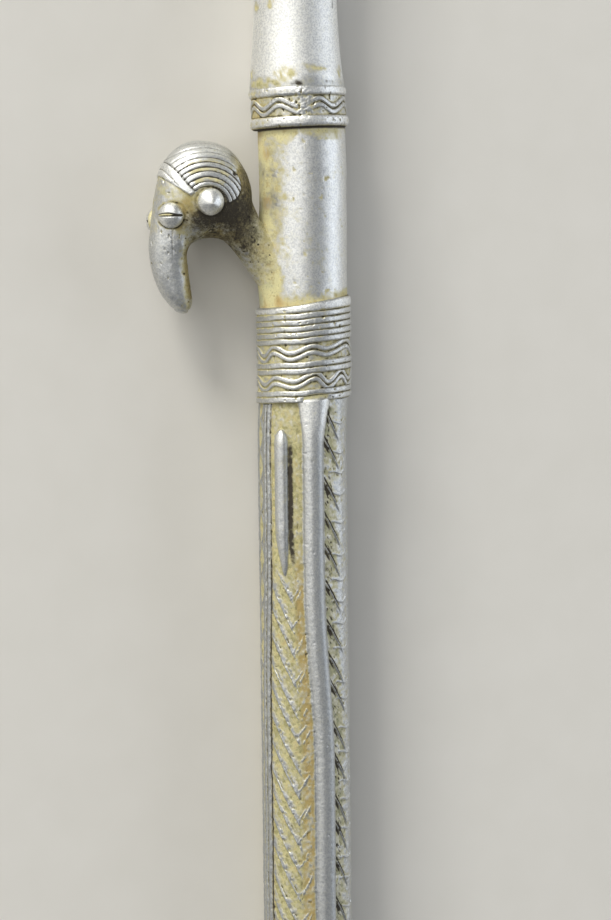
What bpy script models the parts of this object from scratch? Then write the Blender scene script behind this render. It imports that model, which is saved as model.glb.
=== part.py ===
"""Ceremonial staff with a bird's head, cast in aluminium in one piece, lying as a loose staff lies.

The staff is first built straight along X, from its top end at s = 0 to its foot, with the beak pointing
to -Y. A place on it is given by s, by the angle round the staff from the side that the beak points to,
and by its distance from the middle line. The casting is then given the slight sway of its middle line,
rolled until it rests on its collars and on the ear under its head, and filed flat where it touches.
"""

import math

import bmesh
import bpy
from mathutils import Matrix, Vector
from mathutils.bvhtree import BVHTree

# Stretches of the staff, from the top end down, in metres
FINIAL_LENGTH = 0.026
NECK_RING_LENGTH = 0.008
TUBE_LENGTH = 0.0835
UPPER_COLLAR_LENGTH = 0.0141
STEM_LENGTH = 0.0554
LOWER_COLLAR_LENGTH = 0.0306
SHAFT_LENGTH = 0.625
FOOT_COLLAR_LENGTH = 0.0141
FOOT_LENGTH = 0.043

# Radii of the turned stretches
FINIAL_RADIUS = 0.0133
NECK_RING_RADIUS = 0.0143
TUBE_RADIUS = 0.0127
TUBE_MOUTH_RADIUS = 0.0151
COLLAR_RADIUS = 0.0157
STEM_RADIUS = 0.0136
LOWER_COLLAR_RADIUS = 0.0152
SHAFT_RADIUS = 0.0138
FOOT_TIP_RADIUS = 0.0085
TUBE_FLARE = 4.5

# Beads and threads on the collars
COLLAR_GROUND_DEPTH = 0.0011
UPPER_BEAD_WIDTH = 0.0029
LOWER_BEAD_WIDTH = 0.0037
WIDE_BEAD_WIDTH = 0.0023
THREAD_PITCH = 0.00196
THREADS_UNDER_BEAD = 5
THREAD_HEIGHT = 0.0007
WAVE_BAND = 0.0056
WAVE_THREAD_RADIUS = 0.00068
WAVE_THREAD_GAP = 0.0021
UPPER_WAVE_HEIGHT = 0.0018
LOWER_WAVE_HEIGHT = 0.0014
UPPER_WAVES = 8
LOWER_WAVES = 7
UPPER_COLLAR_SLANT = math.radians(2.0)
LOWER_COLLAR_SLANT = math.radians(4.2)

# Long ridges, bars and panels of the shaft
RIDGE_WIDTH = 0.0069
RIDGE_HEIGHT = 0.0017
RIDGE_FLARE = 1.5
RIDGE_ANGLES = (math.radians(88), math.radians(99))
RIDGE_TURN = (0.058, 0.115)
FILLET_WIDTH = 0.0012
FILLET_HEIGHT = 0.0006
FILLET_ANGLES = (math.radians(18), math.radians(26.5))
BAR_START = 0.0085
BAR_LENGTH = 0.0465
BAR_WIDTH = 0.0051
BAR_HEIGHT = 0.0019
BAR_ANGLE = math.radians(46)
PANEL_THREAD_WIDTH = 0.0012
PANEL_THREAD_HEIGHT = 0.0005
PANEL_MARGIN = math.radians(9)
PANEL_THREAD_SLOPE = math.radians(64)

# Head: its length runs from the crown to the tip of the beak, and its other sizes are shares of it
HEAD_LENGTH = 0.0551
CROWN_BELOW_COLLAR = 0.0030
HEAD_SECTIONS = (
    # crown side (along, out), throat side (along, out), half the breadth
    (0.560, -0.116, 1.036, -0.108, 0.200),
    (0.495, -0.016, 0.930, 0.004, 0.165),
    (0.419, 0.024, 0.761, 0.072, 0.140),
    (0.349, 0.050, 0.650, 0.135, 0.136),
    (0.267, 0.057, 0.591, 0.212, 0.160),
    (0.151, 0.103, 0.567, 0.271, 0.191),
    (0.045, 0.196, 0.560, 0.324, 0.209),
    (0.000, 0.332, 0.572, 0.366, 0.214),
    (0.019, 0.451, 0.589, 0.396, 0.205),
    (0.088, 0.542, 0.606, 0.417, 0.187),
    (0.168, 0.591, 0.629, 0.432, 0.167),
    (0.273, 0.616, 0.658, 0.442, 0.152),
    (0.377, 0.638, 0.693, 0.445, 0.138),
    (0.504, 0.655, 0.733, 0.437, 0.116),
    (0.632, 0.660, 0.791, 0.430, 0.100),
    (0.760, 0.643, 0.855, 0.419, 0.089),
    (0.871, 0.603, 0.919, 0.412, 0.078),
    (0.940, 0.553, 0.962, 0.421, 0.062),
    (0.980, 0.514, 0.986, 0.446, 0.035),
)
EYE_PLACES = {"near": (0.437, 0.566), "far": (0.460, 0.572)}
EYE_RADIUS = 0.0745
EYE_HEIGHT = 0.058
EYE_SLIT_WIDTH = 0.015
EYE_SLIT_DEPTH = 0.022
EAR_PLACE = (0.366, 0.348)
EAR_RADIUS = 0.078
EAR_HEIGHT = 0.077
CAP_FIRST_RADIUS = 0.122
CAP_SPACING = 0.0284
CAP_RIDGES = 8
CAP_RIDGE_WIDTH = 0.013
CAP_FRONT = math.radians(50)
CAP_BACK = math.radians(-82)
BAND_START = (0.140, 0.574)
BAND_END = (0.305, 0.455)
BAND_SPACING = 0.035
BAND_RIDGE_WIDTH = 0.015

# Sway of the middle line: places along the staff, measured from the top of the lower collar, and offsets
SWAY = (
    (-0.200, -0.0006),
    (-0.075, -0.0006),
    (-0.055, 0.0003),
    (-0.040, 0.0007),
    (0.020, 0.0009),
    (0.045, 0.0),
    (0.700, 0.0),
)

# Where the lying staff touches, it is filed this deep
REST_FLAT_DEPTH = 0.00035

# Fineness of the faceted shapes
ROUND_SIDES = 20
HEAD_SIDES = 18
BEAD_STEPS = 4
WAVE_STEPS = 4
WELD = 0.000001

# Places worked out from the sizes above
NECK_RING_START = FINIAL_LENGTH
TUBE_START = NECK_RING_START + NECK_RING_LENGTH
UPPER_COLLAR_START = TUBE_START + TUBE_LENGTH
STEM_START = UPPER_COLLAR_START + UPPER_COLLAR_LENGTH
LOWER_COLLAR_START = STEM_START + STEM_LENGTH
SHAFT_START = LOWER_COLLAR_START + LOWER_COLLAR_LENGTH
FOOT_COLLAR_START = SHAFT_START + SHAFT_LENGTH
FOOT_START = FOOT_COLLAR_START + FOOT_COLLAR_LENGTH
STAFF_LENGTH = FOOT_START + FOOT_LENGTH


def clear_scene():
    for thing in list(bpy.data.objects):
        bpy.data.objects.remove(thing, do_unlink=True)


def new_collection(name):
    group = bpy.data.collections.new(name)
    bpy.context.scene.collection.children.link(group)
    return group


def aluminium():
    """Cast aluminium, handled bright, with ochre earth left in its hollows."""
    metal = bpy.data.materials.new("cast_aluminium")
    metal.use_nodes = True
    shader = metal.node_tree.nodes["Principled BSDF"]
    shader.inputs["Base Color"].default_value = (0.42, 0.41, 0.37, 1.0)
    shader.inputs["Metallic"].default_value = 1.0
    shader.inputs["Roughness"].default_value = 0.34
    return metal


def on_staff(s, angle, radius):
    """The point at s along the staff, at this angle from the beak's side and this far from its middle."""
    return Vector((s, -radius * math.cos(angle), radius * math.sin(angle)))


def realised(thing, group):
    """The object as its modifiers leave it: a new mesh object in its place, with its loose caps welded."""
    bpy.context.view_layer.update()
    graph = bpy.context.evaluated_depsgraph_get()
    mesh = bpy.data.meshes.new_from_object(thing.evaluated_get(graph))
    name = thing.name
    place = thing.matrix_world.copy()
    bpy.data.objects.remove(thing, do_unlink=True)
    shape = bmesh.new()
    shape.from_mesh(mesh)
    bmesh.ops.remove_doubles(shape, verts=shape.verts, dist=WELD)
    bmesh.ops.recalc_face_normals(shape, faces=shape.faces)
    shape.to_mesh(mesh)
    shape.free()
    made = bpy.data.objects.new(name, mesh)
    made.matrix_world = place
    group.objects.link(made)
    return made


def turned(name, profile, group):
    """A turned shape: the profile, as (s, radius) from top to foot, carried round the middle line."""
    points = [profile[0]]
    for point in profile[1:]:
        if math.dist(point, points[-1]) > WELD:
            points.append(point)
    mesh = bpy.data.meshes.new(name)
    edges = [(i, i + 1) for i in range(len(points) - 1)]
    mesh.from_pydata([(radius, 0.0, -s) for s, radius in points], edges, [])
    lathe = bpy.data.objects.new(name, mesh)
    group.objects.link(lathe)
    screw = lathe.modifiers.new("turn", "SCREW")
    screw.steps = ROUND_SIDES
    screw.render_steps = ROUND_SIDES
    screw.use_merge_vertices = True
    screw.merge_threshold = WELD
    lathe.rotation_euler = (0.0, -math.pi / 2, 0.0)
    return realised(lathe, group)


def tube(name, points, thickness, group, swell=None, closed=False, fineness=0):
    """A round rod of this radius through the points, thicker or thinner by each point's share in swell."""
    curve = bpy.data.curves.new(name, "CURVE")
    curve.dimensions = "3D"
    curve.bevel_depth = thickness
    curve.bevel_resolution = fineness
    curve.use_fill_caps = not closed
    line = curve.splines.new("POLY")
    line.points.add(len(points) - 1)
    line.use_cyclic_u = closed
    for i, place in enumerate(points):
        line.points[i].co = (*place, 1.0)
        line.points[i].radius = swell[i] if swell else 1.0
    rod = bpy.data.objects.new(name, curve)
    group.objects.link(rod)
    return realised(rod, group)


def bead(start, length, ground, height, steps=BEAD_STEPS):
    """A rounded bead in a turned profile: it rises from the ground by the height and falls back."""
    places = [k / steps for k in range(steps + 1)]
    return [(start + length * k, ground + height * (1 - abs(2 * k - 1) ** 2.5)) for k in places]


def tube_radius(share):
    """The top tube widens slowly, then flares where it meets the collar."""
    return TUBE_RADIUS + (TUBE_MOUTH_RADIUS - TUBE_RADIUS) * share**TUBE_FLARE


def staff_profile():
    """The staff's turned core, from the rounded knob at its top to the flat tip of its foot."""
    knob = [
        (FINIAL_LENGTH * (1 - math.cos(turn)) / 2, FINIAL_RADIUS * math.sin(turn) ** 0.8)
        for turn in (math.pi * k / 8 for k in range(1, 7))
    ]
    flare = [(TUBE_START + TUBE_LENGTH * k, tube_radius(k)) for k in (0.0, 0.5, 0.72, 0.88, 1.0)]
    step = UPPER_COLLAR_START + UPPER_BEAD_WIDTH / 2
    shoulder = LOWER_COLLAR_START + LOWER_COLLAR_LENGTH / 2
    taper = [
        (FOOT_START + FOOT_LENGTH * k, SHAFT_RADIUS + (FOOT_TIP_RADIUS - SHAFT_RADIUS) * k**1.6)
        for k in (0.0, 0.5, 0.94)
    ]
    return [
        (0.0, 0.0),
        *knob,
        (NECK_RING_START, TUBE_RADIUS * 0.86),
        *bead(NECK_RING_START, NECK_RING_LENGTH, TUBE_RADIUS, NECK_RING_RADIUS - TUBE_RADIUS),
        *flare,
        (step, TUBE_MOUTH_RADIUS),
        (step, STEM_RADIUS),
        (shoulder, STEM_RADIUS),
        (shoulder, SHAFT_RADIUS),
        (FOOT_COLLAR_START + FOOT_COLLAR_LENGTH / 2, SHAFT_RADIUS),
        *taper,
        (STAFF_LENGTH, FOOT_TIP_RADIUS * 0.9),
        (STAFF_LENGTH, 0.0),
    ]


def beaded_collar(name, start, length, group, steps=BEAD_STEPS):
    """A collar with a plain bead along each edge and a sunk band between them for the waves."""
    ground = COLLAR_RADIUS - COLLAR_GROUND_DEPTH
    return turned(
        name,
        [
            (start, 0.0),
            *bead(start, UPPER_BEAD_WIDTH, ground, COLLAR_GROUND_DEPTH * 0.8, steps),
            *bead(start + length - LOWER_BEAD_WIDTH, LOWER_BEAD_WIDTH, ground, COLLAR_GROUND_DEPTH, steps),
            (start + length, 0.0),
        ],
        group,
    )


def lower_collar_bands():
    """Where the lower collar's threads start, and the middles of its two bands of waves."""
    first = LOWER_COLLAR_START + WIDE_BEAD_WIDTH
    starts = [first + THREAD_PITCH * k for k in range(THREADS_UNDER_BEAD)]
    upper_wave = first + THREAD_PITCH * THREADS_UNDER_BEAD
    middle = upper_wave + WAVE_BAND
    starts += [middle, middle + THREAD_PITCH]
    lower_wave = middle + 2 * THREAD_PITCH
    edge = SHAFT_START - 2 * THREAD_PITCH
    starts += [edge, edge + THREAD_PITCH]
    return starts, (upper_wave + middle) / 2, (lower_wave + edge) / 2


def threaded_collar(group):
    """The lower collar: a broad bead, straight threads laid side by side, and two sunk bands for waves."""
    ground = LOWER_COLLAR_RADIUS - THREAD_HEIGHT
    profile = [
        (LOWER_COLLAR_START, 0.0),
        *bead(LOWER_COLLAR_START, WIDE_BEAD_WIDTH, ground, THREAD_HEIGHT),
    ]
    for start in lower_collar_bands()[0]:
        profile += bead(start, THREAD_PITCH, ground, THREAD_HEIGHT, steps=2)
    profile.append((SHAFT_START, 0.0))
    return turned("lower_collar", profile, group)


def wave_threads(name, middle, ground, waves, height, first_crest, group):
    """Two threads side by side that wave round the staff, each crest reaching towards the top end."""
    made = []
    steps = WAVE_STEPS * waves
    for side in (-1, 1):
        points = []
        for k in range(steps):
            angle = 2 * math.pi * k / steps
            lift = height * math.cos(waves * (angle - first_crest))
            s = middle + side * WAVE_THREAD_GAP / 2 - lift
            points.append(on_staff(s, angle, ground))
        label = f"{name}_{'upper' if side < 0 else 'lower'}"
        made.append(tube(label, points, WAVE_THREAD_RADIUS, group, closed=True))
    return made


def slant(things, middle, angle):
    """Tips a collar and its threads about their middle, the head's side towards the foot."""
    there = Matrix.Translation((middle, 0.0, 0.0))
    tip = there @ Matrix.Rotation(angle, 4, "Z") @ there.inverted()
    for thing in things:
        thing.matrix_world = tip @ thing.matrix_world


def make_collars(group):
    ground = COLLAR_RADIUS - COLLAR_GROUND_DEPTH
    between = (UPPER_BEAD_WIDTH - LOWER_BEAD_WIDTH) / 2
    middle = UPPER_COLLAR_START + UPPER_COLLAR_LENGTH / 2
    upper = [beaded_collar("upper_collar", UPPER_COLLAR_START, UPPER_COLLAR_LENGTH, group)]
    crest = math.radians(52)
    place = middle + between
    upper += wave_threads("upper_wave", place, ground, UPPER_WAVES, UPPER_WAVE_HEIGHT, crest, group)
    slant(upper, middle, UPPER_COLLAR_SLANT)
    beaded_collar("foot_collar", FOOT_COLLAR_START, FOOT_COLLAR_LENGTH, group, steps=2)
    ground = LOWER_COLLAR_RADIUS - THREAD_HEIGHT
    upper_wave, lower_wave = lower_collar_bands()[1:]
    lower = [threaded_collar(group)]
    for name, place in (("middle_wave", upper_wave), ("edge_wave", lower_wave)):
        crest = math.radians(35)
        lower += wave_threads(name, place, ground, LOWER_WAVES, LOWER_WAVE_HEIGHT, crest, group)
    slant(lower, LOWER_COLLAR_START + LOWER_COLLAR_LENGTH / 2, LOWER_COLLAR_SLANT)


def rod_radius(width, height):
    """The radius of a round rod that stands proud of the ground by the height, over the width."""
    return (height**2 + (width / 2) ** 2) / (2 * height)


def raised_rod(name, places, width, height, group, swell=None, fineness=1):
    """A rod half sunk in the shaft along (s, angle) places, so that only its rounded back stands out."""
    radius = rod_radius(width, height)
    swell = swell or [1.0] * len(places)
    depth = [SHAFT_RADIUS + height - radius * share for share in swell]
    points = [on_staff(s, angle, out) for (s, angle), out in zip(places, depth)]
    return tube(name, points, radius, group, swell=swell, fineness=fineness)


def ridge_angle(s):
    """The main ridge starts nearer the beak's side and turns away from it further down."""
    low, high = (SHAFT_START + turn for turn in RIDGE_TURN)
    share = min(max((s - low) / (high - low), 0.0), 1.0)
    share = share * share * (3 - 2 * share)
    return RIDGE_ANGLES[0] + (RIDGE_ANGLES[1] - RIDGE_ANGLES[0]) * share


def make_ridges(group):
    """Both long ridges, the pairs of thin fillets beside the front strip, and the short bars."""
    end = FOOT_COLLAR_START + UPPER_BEAD_WIDTH / 3
    turned, straight = RIDGE_TURN
    bends = [turned + (straight - turned) * share for share in (0.0, 0.3, 0.7, 1.0)]
    stops = [SHAFT_START + drop for drop in (-0.001, 0.004, 0.011, 0.03, *bends)]
    stops.append(end)
    for side, word in ((1, "near"), (-1, "far")):
        places = [(s, side * ridge_angle(s)) for s in stops]
        swell = [1 + (RIDGE_FLARE - 1) * max(0.0, 1 - (s - SHAFT_START) / 0.011) for s in stops]
        raised_rod(f"{word}_ridge", places, RIDGE_WIDTH, RIDGE_HEIGHT, group, swell, fineness=2)
        for k, angle in enumerate(FILLET_ANGLES):
            run = [(SHAFT_START - 0.001, side * angle), (end, side * angle)]
            raised_rod(f"{word}_fillet_{k + 1}", run, FILLET_WIDTH, FILLET_HEIGHT, group)
        start = SHAFT_START + BAR_START
        shares = (0.0, 0.05, 0.5, 0.85, 1.0)
        places = [(start + BAR_LENGTH * k, side * BAR_ANGLE) for k in shares]
        swell = [0.72, 1.0, 0.95, 0.75, 0.55]
        raised_rod(f"{word}_bar", places, BAR_WIDTH, BAR_HEIGHT, group, swell, fineness=2)


def make_panel_threads(group):
    """Two threads that run from edge to edge of the near front panel all the way down and cross."""
    edges = (FILLET_ANGLES[1] + PANEL_MARGIN, RIDGE_ANGLES[0] - PANEL_MARGIN)
    middle = sum(edges) / 2
    start = SHAFT_START + BAR_START + BAR_LENGTH
    room = FOOT_COLLAR_START - start
    crossings = round(room / ((edges[1] - edges[0]) * SHAFT_RADIUS * math.tan(PANEL_THREAD_SLOPE)))
    stride = room / crossings
    for first, word in ((0, "falling"), (1, "rising")):
        places = [(start, edges[first])]
        for k in range(crossings):
            s = start + stride * k
            places.append((s + stride / 2, middle))
            places.append((s + stride, edges[(first + k + 1) % 2]))
        raised_rod(f"{word}_thread", places, PANEL_THREAD_WIDTH, PANEL_THREAD_HEIGHT, group, fineness=0)


def head_point(along, out, aside=0.0):
    """A point of the head, from shares of its length: along from the crown, out from the stem, aside."""
    crown = STEM_START + CROWN_BELOW_COLLAR
    s = crown + along * HEAD_LENGTH
    return Vector((s, -STEM_RADIUS - out * HEAD_LENGTH, aside * HEAD_LENGTH))


def make_head(group):
    """The head, lofted through elliptic sections from its root in the stem over the crown to the beak."""
    shape = bmesh.new()
    rings = []
    for crown_along, crown_out, throat_along, throat_out, breadth in HEAD_SECTIONS:
        crown = head_point(crown_along, crown_out)
        throat = head_point(throat_along, throat_out)
        middle = (crown + throat) / 2
        reach = (crown - throat) / 2
        aside = Vector((0.0, 0.0, breadth * HEAD_LENGTH))
        turns = [2 * math.pi * k / HEAD_SIDES for k in range(HEAD_SIDES)]
        rings.append([shape.verts.new(middle + reach * math.cos(a) + aside * math.sin(a)) for a in turns])
    for before, after in zip(rings, rings[1:]):
        for k in range(HEAD_SIDES):
            n = (k + 1) % HEAD_SIDES
            shape.faces.new((before[k], before[n], after[n], after[k]))
    shape.faces.new(rings[0])
    shape.faces.new(rings[-1])
    bmesh.ops.recalc_face_normals(shape, faces=shape.faces)
    mesh = bpy.data.meshes.new("head")
    shape.to_mesh(mesh)
    shape.free()
    head = bpy.data.objects.new("head", mesh)
    group.objects.link(head)
    return head


def draper(head):
    """A function that drops a point of the head's plane onto its side, with the surface's direction there."""
    mesh = head.data
    tree = BVHTree.FromPolygons([v.co for v in mesh.vertices], [p.vertices for p in mesh.polygons])

    def drape(place, side):
        above = head_point(*place, aside=side)
        hit, normal, _, _ = tree.ray_cast(above, Vector((0.0, 0.0, -side)))
        return hit, normal

    return drape


def dome(name, centre, normal, radius, height, group):
    """A round boss: a sphere flattened along the surface's direction, half of it sunk in the head."""
    shape = bmesh.new()
    bmesh.ops.create_uvsphere(shape, u_segments=12, v_segments=6, radius=1.0)
    mesh = bpy.data.meshes.new(name)
    shape.to_mesh(mesh)
    shape.free()
    boss = bpy.data.objects.new(name, mesh)
    turn = normal.to_track_quat("Z", "Y").to_matrix().to_4x4()
    size = Matrix.Diagonal((radius, radius, height, 1.0))
    mesh.transform(Matrix.Translation(centre) @ turn @ size)
    group.objects.link(boss)
    return boss


def slit(name, centre, normal, cutters):
    """The cutter of an eye's slit, which runs level across the eye."""
    shape = bmesh.new()
    bmesh.ops.create_cube(shape, size=1.0)
    mesh = bpy.data.meshes.new(name)
    shape.to_mesh(mesh)
    shape.free()
    cutter = bpy.data.objects.new(name, mesh)
    length = 2.4 * EYE_RADIUS * HEAD_LENGTH
    depth = 2 * EYE_SLIT_DEPTH * HEAD_LENGTH
    across = Vector((1.0, 0.0, 0.0))
    across = (across - normal * across.dot(normal)).normalized()
    turn = Matrix((across.cross(normal), across, normal)).transposed().to_4x4()
    size = Matrix.Diagonal((length, EYE_SLIT_WIDTH * HEAD_LENGTH, depth, 1.0))
    mesh.transform(Matrix.Translation(centre + normal * EYE_HEIGHT * HEAD_LENGTH) @ turn @ size)
    cutter.hide_render = True
    cutter.display_type = "WIRE"
    cutters.objects.link(cutter)


def make_face(head, group, cutters):
    """Eyes with slits, ear bosses, the headband's two ridges and the cap's ridges round each ear."""
    drape = draper(head)
    for side, word in ((1, "near"), (-1, "far")):
        centre, normal = drape(EYE_PLACES[word], side)
        dome(f"{word}_eye", centre, normal, EYE_RADIUS * HEAD_LENGTH, EYE_HEIGHT * HEAD_LENGTH, group)
        slit(f"{word}_eye_slit", centre, normal, cutters)
        centre, normal = drape(EAR_PLACE, side)
        dome(f"{word}_ear", centre, normal, EAR_RADIUS * HEAD_LENGTH, EAR_HEIGHT * HEAD_LENGTH, group)
        for k in range(2):
            lift = BAND_SPACING * k
            ends = [Vector(BAND_START) - Vector((lift, lift / 2)), Vector(BAND_END) - Vector((lift, 0))]
            places = [ends[0].lerp(ends[1], share) for share in (0.03, 0.25, 0.5, 0.75, 1.0)]
            draped_ridge(f"{word}_band_{k + 1}", drape, places, side, BAND_RIDGE_WIDTH, group)
        for k in range(CAP_RIDGES if side > 0 else 0):
            reach = CAP_FIRST_RADIUS + CAP_SPACING * k
            turns = [CAP_BACK + (CAP_FRONT - CAP_BACK) * i / 5 for i in range(6)]
            places = [
                Vector(EAR_PLACE) + reach * Vector((-math.cos(turn), math.sin(turn))) for turn in turns
            ]
            draped_ridge(f"{word}_cap_{k + 1}", drape, places, side, CAP_RIDGE_WIDTH, group)


def draped_ridge(name, drape, places, side, width, group):
    """A thin ridge on the head along these places, left off where they pass its outline."""
    hits = [drape(place, side)[0] for place in places]
    points = [hit for hit in hits if hit is not None]
    if len(points) > 1:
        tube(name, points, width * HEAD_LENGTH, group)


def cut_or_join(body, operation, group):
    change = body.modifiers.new(operation.lower(), "BOOLEAN")
    change.operation = operation
    change.operand_type = "COLLECTION"
    change.collection = group
    change.solver = "EXACT"


def sway(s):
    """How far the middle line lies to the beak's far side of straight at s, eased from place to place."""
    for (near, low), (far, high) in zip(SWAY, SWAY[1:]):
        if s < LOWER_COLLAR_START + far:
            share = max((s - LOWER_COLLAR_START - near) / (far - near), 0.0)
            share = share * share * (3 - 2 * share)
            return low + (high - low) * share
    return SWAY[-1][1]


def resting_roll(boss):
    """The roll about the staff's middle line at which the lower ear and the collars touch one floor."""
    points = [boss.matrix_world @ v.co for v in boss.data.vertices]
    low, high = math.radians(-20), math.radians(20)
    for _ in range(40):
        middle = (low + high) / 2
        reach = -min(p.y * math.sin(middle) + p.z * math.cos(middle) for p in points)
        if reach < COLLAR_RADIUS:
            low = middle
        else:
            high = middle
    return (low + high) / 2


def lay_down(staff, roll, cutters):
    """Rolls the staff onto its collars and ear, centres it over the origin and files flat what touches."""
    staff.data.transform(Matrix.Rotation(roll, 4, "X"))
    corners = [v.co for v in staff.data.vertices]
    ends = min(c.x for c in corners), max(c.x for c in corners)
    sides = min(c.y for c in corners), max(c.y for c in corners)
    shift = Vector((-sum(ends) / 2, -sum(sides) / 2, COLLAR_RADIUS - REST_FLAT_DEPTH))
    staff.data.transform(Matrix.Translation(shift))
    shape = bmesh.new()
    bmesh.ops.create_cube(shape, size=1.0)
    floor = bpy.data.meshes.new("floor_cut")
    shape.to_mesh(floor)
    shape.free()
    block = bpy.data.objects.new("floor_cut", floor)
    depth = 4 * COLLAR_RADIUS
    floor.transform(Matrix.Diagonal((2 * STAFF_LENGTH, 20 * COLLAR_RADIUS, depth, 1.0)))
    block.location = (0.0, 0.0, -depth / 2)
    block.hide_render = True
    block.display_type = "WIRE"
    cutters.objects.link(block)
    filing = staff.modifiers.new("filed_flat", "BOOLEAN")
    filing.operation = "DIFFERENCE"
    filing.object = block
    filing.solver = "EXACT"


def build():
    clear_scene()
    parts = new_collection("ceremonial_staff")
    joined = new_collection("joined_shapes")
    joined.hide_render = True
    cutters = new_collection("cutters")
    cutters.hide_render = True
    slits = bpy.data.collections.new("eye_slits")
    cutters.children.link(slits)
    core = turned("staff", staff_profile(), parts)
    make_collars(joined)
    make_ridges(joined)
    make_panel_threads(joined)
    head = make_head(joined)
    make_face(head, joined, slits)
    roll = resting_roll(joined.objects["far_ear"])
    cut_or_join(core, "UNION", joined)
    cut_or_join(core, "DIFFERENCE", slits)
    staff = realised(core, parts)
    for group in (joined, slits):
        for thing in list(group.objects):
            bpy.data.objects.remove(thing, do_unlink=True)
    staff.data.transform(staff.matrix_world)
    staff.matrix_world = Matrix.Identity(4)
    for vertex in staff.data.vertices:
        vertex.co.y += sway(vertex.co.x)
    staff.data.shade_smooth()
    staff.data.set_sharp_from_angle(angle=math.radians(35))
    lay_down(staff, roll, cutters)
    staff.name = "staff"
    staff.data.materials.clear()
    staff.data.materials.append(aluminium())


build()
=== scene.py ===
"""Looks of the ceremonial staff: its cast relief, the handled metal and the earth left in its hollows.

Shapes are worked out on the straight staff, where s runs from its top end to its foot and the angle goes
round it from the side that the beak points to. settle() then carries them to where the staff lies.
"""

import math

import bpy
import numpy as np
from mathutils import Matrix, Vector


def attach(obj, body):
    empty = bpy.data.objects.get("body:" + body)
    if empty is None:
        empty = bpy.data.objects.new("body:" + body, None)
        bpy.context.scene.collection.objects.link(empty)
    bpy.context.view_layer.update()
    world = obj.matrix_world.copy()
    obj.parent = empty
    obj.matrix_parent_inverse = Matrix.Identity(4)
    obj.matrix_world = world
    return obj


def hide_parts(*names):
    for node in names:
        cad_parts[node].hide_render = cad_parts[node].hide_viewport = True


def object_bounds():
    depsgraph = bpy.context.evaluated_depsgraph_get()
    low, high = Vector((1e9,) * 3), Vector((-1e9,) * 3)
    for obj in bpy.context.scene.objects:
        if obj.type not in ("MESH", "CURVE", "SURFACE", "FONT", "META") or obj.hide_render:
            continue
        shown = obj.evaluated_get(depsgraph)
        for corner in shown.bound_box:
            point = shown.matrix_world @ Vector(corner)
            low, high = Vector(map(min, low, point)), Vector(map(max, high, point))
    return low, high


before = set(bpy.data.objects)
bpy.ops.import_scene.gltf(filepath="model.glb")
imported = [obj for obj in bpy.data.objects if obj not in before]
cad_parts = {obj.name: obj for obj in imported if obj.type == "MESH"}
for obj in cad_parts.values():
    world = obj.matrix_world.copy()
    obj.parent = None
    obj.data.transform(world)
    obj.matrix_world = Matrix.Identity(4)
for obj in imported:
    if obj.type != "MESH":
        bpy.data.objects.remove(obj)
CAD_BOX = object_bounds()

# Stretches of the staff, from the top end down, in metres
FINIAL_LENGTH = 0.026
NECK_RING_LENGTH = 0.008
TUBE_START = FINIAL_LENGTH + NECK_RING_LENGTH
UPPER_COLLAR_START = TUBE_START + 0.0835
UPPER_COLLAR_LENGTH = 0.0141
STEM_START = UPPER_COLLAR_START + UPPER_COLLAR_LENGTH
LOWER_COLLAR_START = STEM_START + 0.0554
LOWER_COLLAR_LENGTH = 0.0306
SHAFT_START = LOWER_COLLAR_START + LOWER_COLLAR_LENGTH
FOOT_COLLAR_START = SHAFT_START + 0.625
FOOT_COLLAR_LENGTH = 0.0141
FOOT_START = FOOT_COLLAR_START + FOOT_COLLAR_LENGTH
STAFF_LENGTH = CAD_BOX[1][0] - CAD_BOX[0][0]

# Radii of the turned stretches
FINIAL_RADIUS = 0.0133
NECK_RING_RADIUS = 0.0143
TUBE_RADIUS = 0.0127
TUBE_MOUTH_RADIUS = 0.0151
# The tube widens by this power of the way down it
TUBE_FLARE = 4.5
COLLAR_RADIUS = 0.0157
STEM_RADIUS = 0.0136
LOWER_COLLAR_RADIUS = 0.0152
SHAFT_RADIUS = 0.0138
FOOT_TIP_RADIUS = 0.0085

# Beads, threads and waves on the collars
COLLAR_GROUND_DEPTH = 0.0011
UPPER_BEAD_START = 0.0012
UPPER_BEAD_WIDTH = 0.0034
LOWER_BEAD_WIDTH = 0.0037
WIDE_BEAD_WIDTH = 0.0023
WIDE_BEAD_LIFT = 0.0011
THREAD_PITCH = 0.00196
THREADS_UNDER_BEAD = 5
THREAD_HEIGHT = 0.0007
UPPER_WAVE_GROUND = 0.00022
UPPER_WAVE_HEIGHT = 0.00040
UPPER_WAVE_REACH = 0.0015
LOWER_WAVE_REACH = 0.0016
WAVE_BAND = 0.0056
WAVE_THREAD_WIDTH = 0.00122
WAVE_THREAD_GAP = 0.00200
# One whole wave takes about this many degrees
WAVE_DEGREES = 56
UPPER_COLLAR_SLANT = math.radians(2.0)
LOWER_COLLAR_TOP_SLANT = math.radians(5.6)
LOWER_COLLAR_SLANT = math.radians(3.6)

# The staff's middle line: places along it from the top of the lower collar, and how far aside it lies
SWAY_PLACES = (-0.200, -0.075, -0.055, -0.040, 0.020, 0.045, 0.700)
SWAY_ASIDE = (-0.0006, -0.0006, 0.0003, 0.0007, 0.0009, 0.0, 0.0)
ROLL = math.radians(0.45)

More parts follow.
